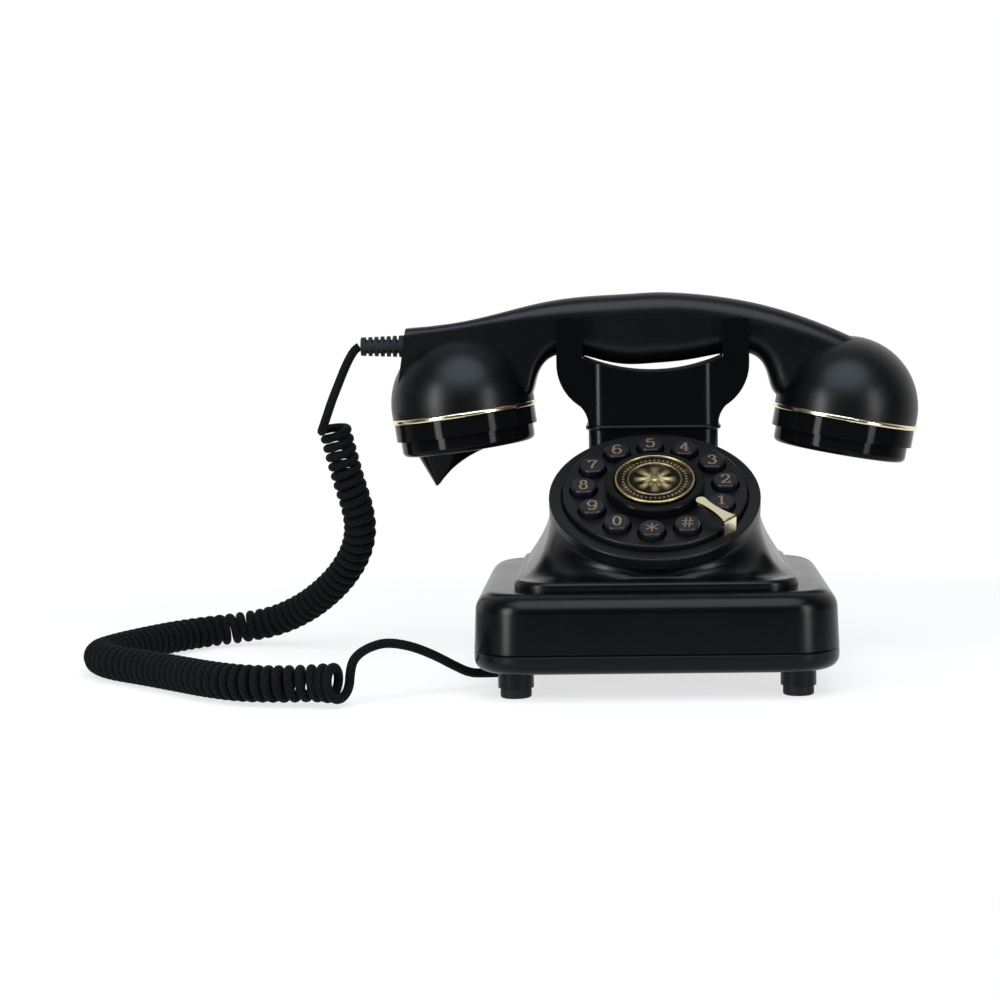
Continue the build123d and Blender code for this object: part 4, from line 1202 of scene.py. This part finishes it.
@dataclass
class Studio:
    """White floor, soft lamps and a camera at the photograph's angle."""

    camera_place: Point = (-0.008, -1.0, 0.165)
    camera_pitch: float = 5.1
    camera_roll: float = -0.6
    lens: float = 83.74
    shift: float = -0.1359
    floor_radius: float = 0.42
    floor_sides: int = 96
    floor_colour: Colour = (0.9, 0.9, 0.9)
    floor_glow: float = 0.7
    shadow_reach: float = 0.3
    shadow_end: float = 0.41
    front_level: float = 0.03
    front_way: float = -0.1
    back_level: float = 1.0
    back_way: float = 0.6
    boxes: tuple[SoftBox, ...] = (
        SoftBox("lamp_top", (0.0, -0.75, 1.25), (0.0, 0.0, 0.05), 1.7, 1.3, 26.0,
                (0.76, 0.88, 1.0), "ELLIPSE"),
        SoftBox("lamp_left", (-0.95, -0.95, 0.3), (0.0, 0.0, 0.1), 0.25, 0.9, 14.0),
        SoftBox("lamp_right", (0.95, -0.95, 0.3), (0.0, 0.0, 0.1), 0.25, 0.9, 9.0),
    )

    def seen(self, nodes: Nodes) -> bpy.types.NodeSocket:
        """One where a ray comes from the camera, through glass or off a mirror, and zero elsewhere.

        Args:
            nodes: Helper of the material's tree.

        Returns:
            The socket of that number.
        """
        rays = nodes.add("ShaderNodeLightPath").outputs
        direct = nodes.math("MAXIMUM", rays["Is Camera Ray"], rays["Is Transmission Ray"])
        return nodes.math("MAXIMUM", direct, rays["Is Glossy Ray"])

    def build_floor(self) -> None:
        """A round flat sheet that keeps a soft shadow near the telephone and turns plain white outwards."""
        turn = np.linspace(0, 2 * pi, self.floor_sides, endpoint=False)
        rim = self.floor_radius * np.stack([np.cos(turn), np.sin(turn), 0 * turn], axis=1)
        floor = make_object("floor", rim, [list(range(self.floor_sides))], smooth=False)
        material, nodes, shader = new_material("floor_white")
        shader.inputs["Base Color"].default_value = shade(self.floor_colour)
        shader.inputs["Roughness"].default_value = 1.0
        shader.inputs["Specular IOR Level"].default_value = 0.0
        glow = nodes.add("ShaderNodeEmission").outputs[0]
        place = nodes.add("ShaderNodeTexCoord").outputs["Object"]
        reach = nodes.add("ShaderNodeVectorMath", {0: place}, operation="LENGTH").outputs["Value"]
        span = {"Value": reach, "From Min": self.shadow_reach, "From Max": self.shadow_end,
                "To Min": self.floor_glow}
        fade = nodes.add("ShaderNodeMapRange", span, interpolation_type="SMOOTHSTEP").outputs[0]
        share = nodes.math("MULTIPLY", self.seen(nodes), fade)
        mixed = nodes.add("ShaderNodeMixShader", {0: share, 1: shader.outputs[0], 2: glow}).outputs[0]
        nodes.tree.links.new(mixed, nodes.tree.nodes["Material Output"].inputs["Surface"])
        dress(floor, material)

    def build_world(self) -> None:
        """A white room behind the telephone that falls to dark behind the camera."""
        world = bpy.data.worlds.new("studio")
        world.use_nodes = True
        nodes = Nodes(world.node_tree)
        place = nodes.add("ShaderNodeTexCoord").outputs["Generated"]
        way = nodes.add("ShaderNodeSeparateXYZ", {0: place}).outputs["Y"]
        span = {"Value": way, "From Min": self.front_way, "From Max": self.back_way,
                "To Min": self.front_level, "To Max": self.back_level}
        level = nodes.add("ShaderNodeMapRange", span).outputs[0]
        rays = nodes.add("ShaderNodeLightPath").outputs
        direct = nodes.math("MAXIMUM", rays["Is Camera Ray"], rays["Is Transmission Ray"])
        strength = nodes.math("MAXIMUM", direct, level)
        sky = nodes.add("ShaderNodeBackground", {"Strength": strength})
        sky.inputs["Color"].default_value = shade((1.0, 1.0, 1.0))
        nodes.add("ShaderNodeOutputWorld", {"Surface": sky.outputs[0]})
        bpy.context.scene.world = world

    def build_camera(self) -> None:
        """The camera, level across but for the photograph's slight roll."""
        lens = bpy.data.cameras.new("camera")
        lens.lens = self.lens
        lens.shift_x = self.shift
        holder = bpy.data.objects.new("camera", lens)
        pitch = Matrix.Rotation(radians(90 - self.camera_pitch), 4, "X")
        roll = Matrix.Rotation(radians(self.camera_roll), 4, "Z")
        holder.matrix_world = Matrix.Translation(self.camera_place) @ pitch @ roll
        bpy.context.scene.collection.objects.link(holder)
        bpy.context.scene.camera = holder

    def build(self) -> None:
        """Sets up the whole studio."""
        bpy.context.scene.view_settings.view_transform = "Standard"
        self.build_floor()
        self.build_world()
        self.build_camera()
        for box in self.boxes:
            box.build()


def main() -> None:
    """Builds the telephone's pieces in order."""
    logging.basicConfig(level=logging.INFO, format="%(message)s")
    Studio().build()
    finishes = Finishes()
    finishes.dress_nodes(frame)
    CurlyCord().dress(finishes)
    dial = Dial()
    KeyNumerals(dial).dress(finishes)
    Medallion(dial).dress(finishes)
    LineContacts().dress(finishes)


if __name__ == "__main__":
    main()
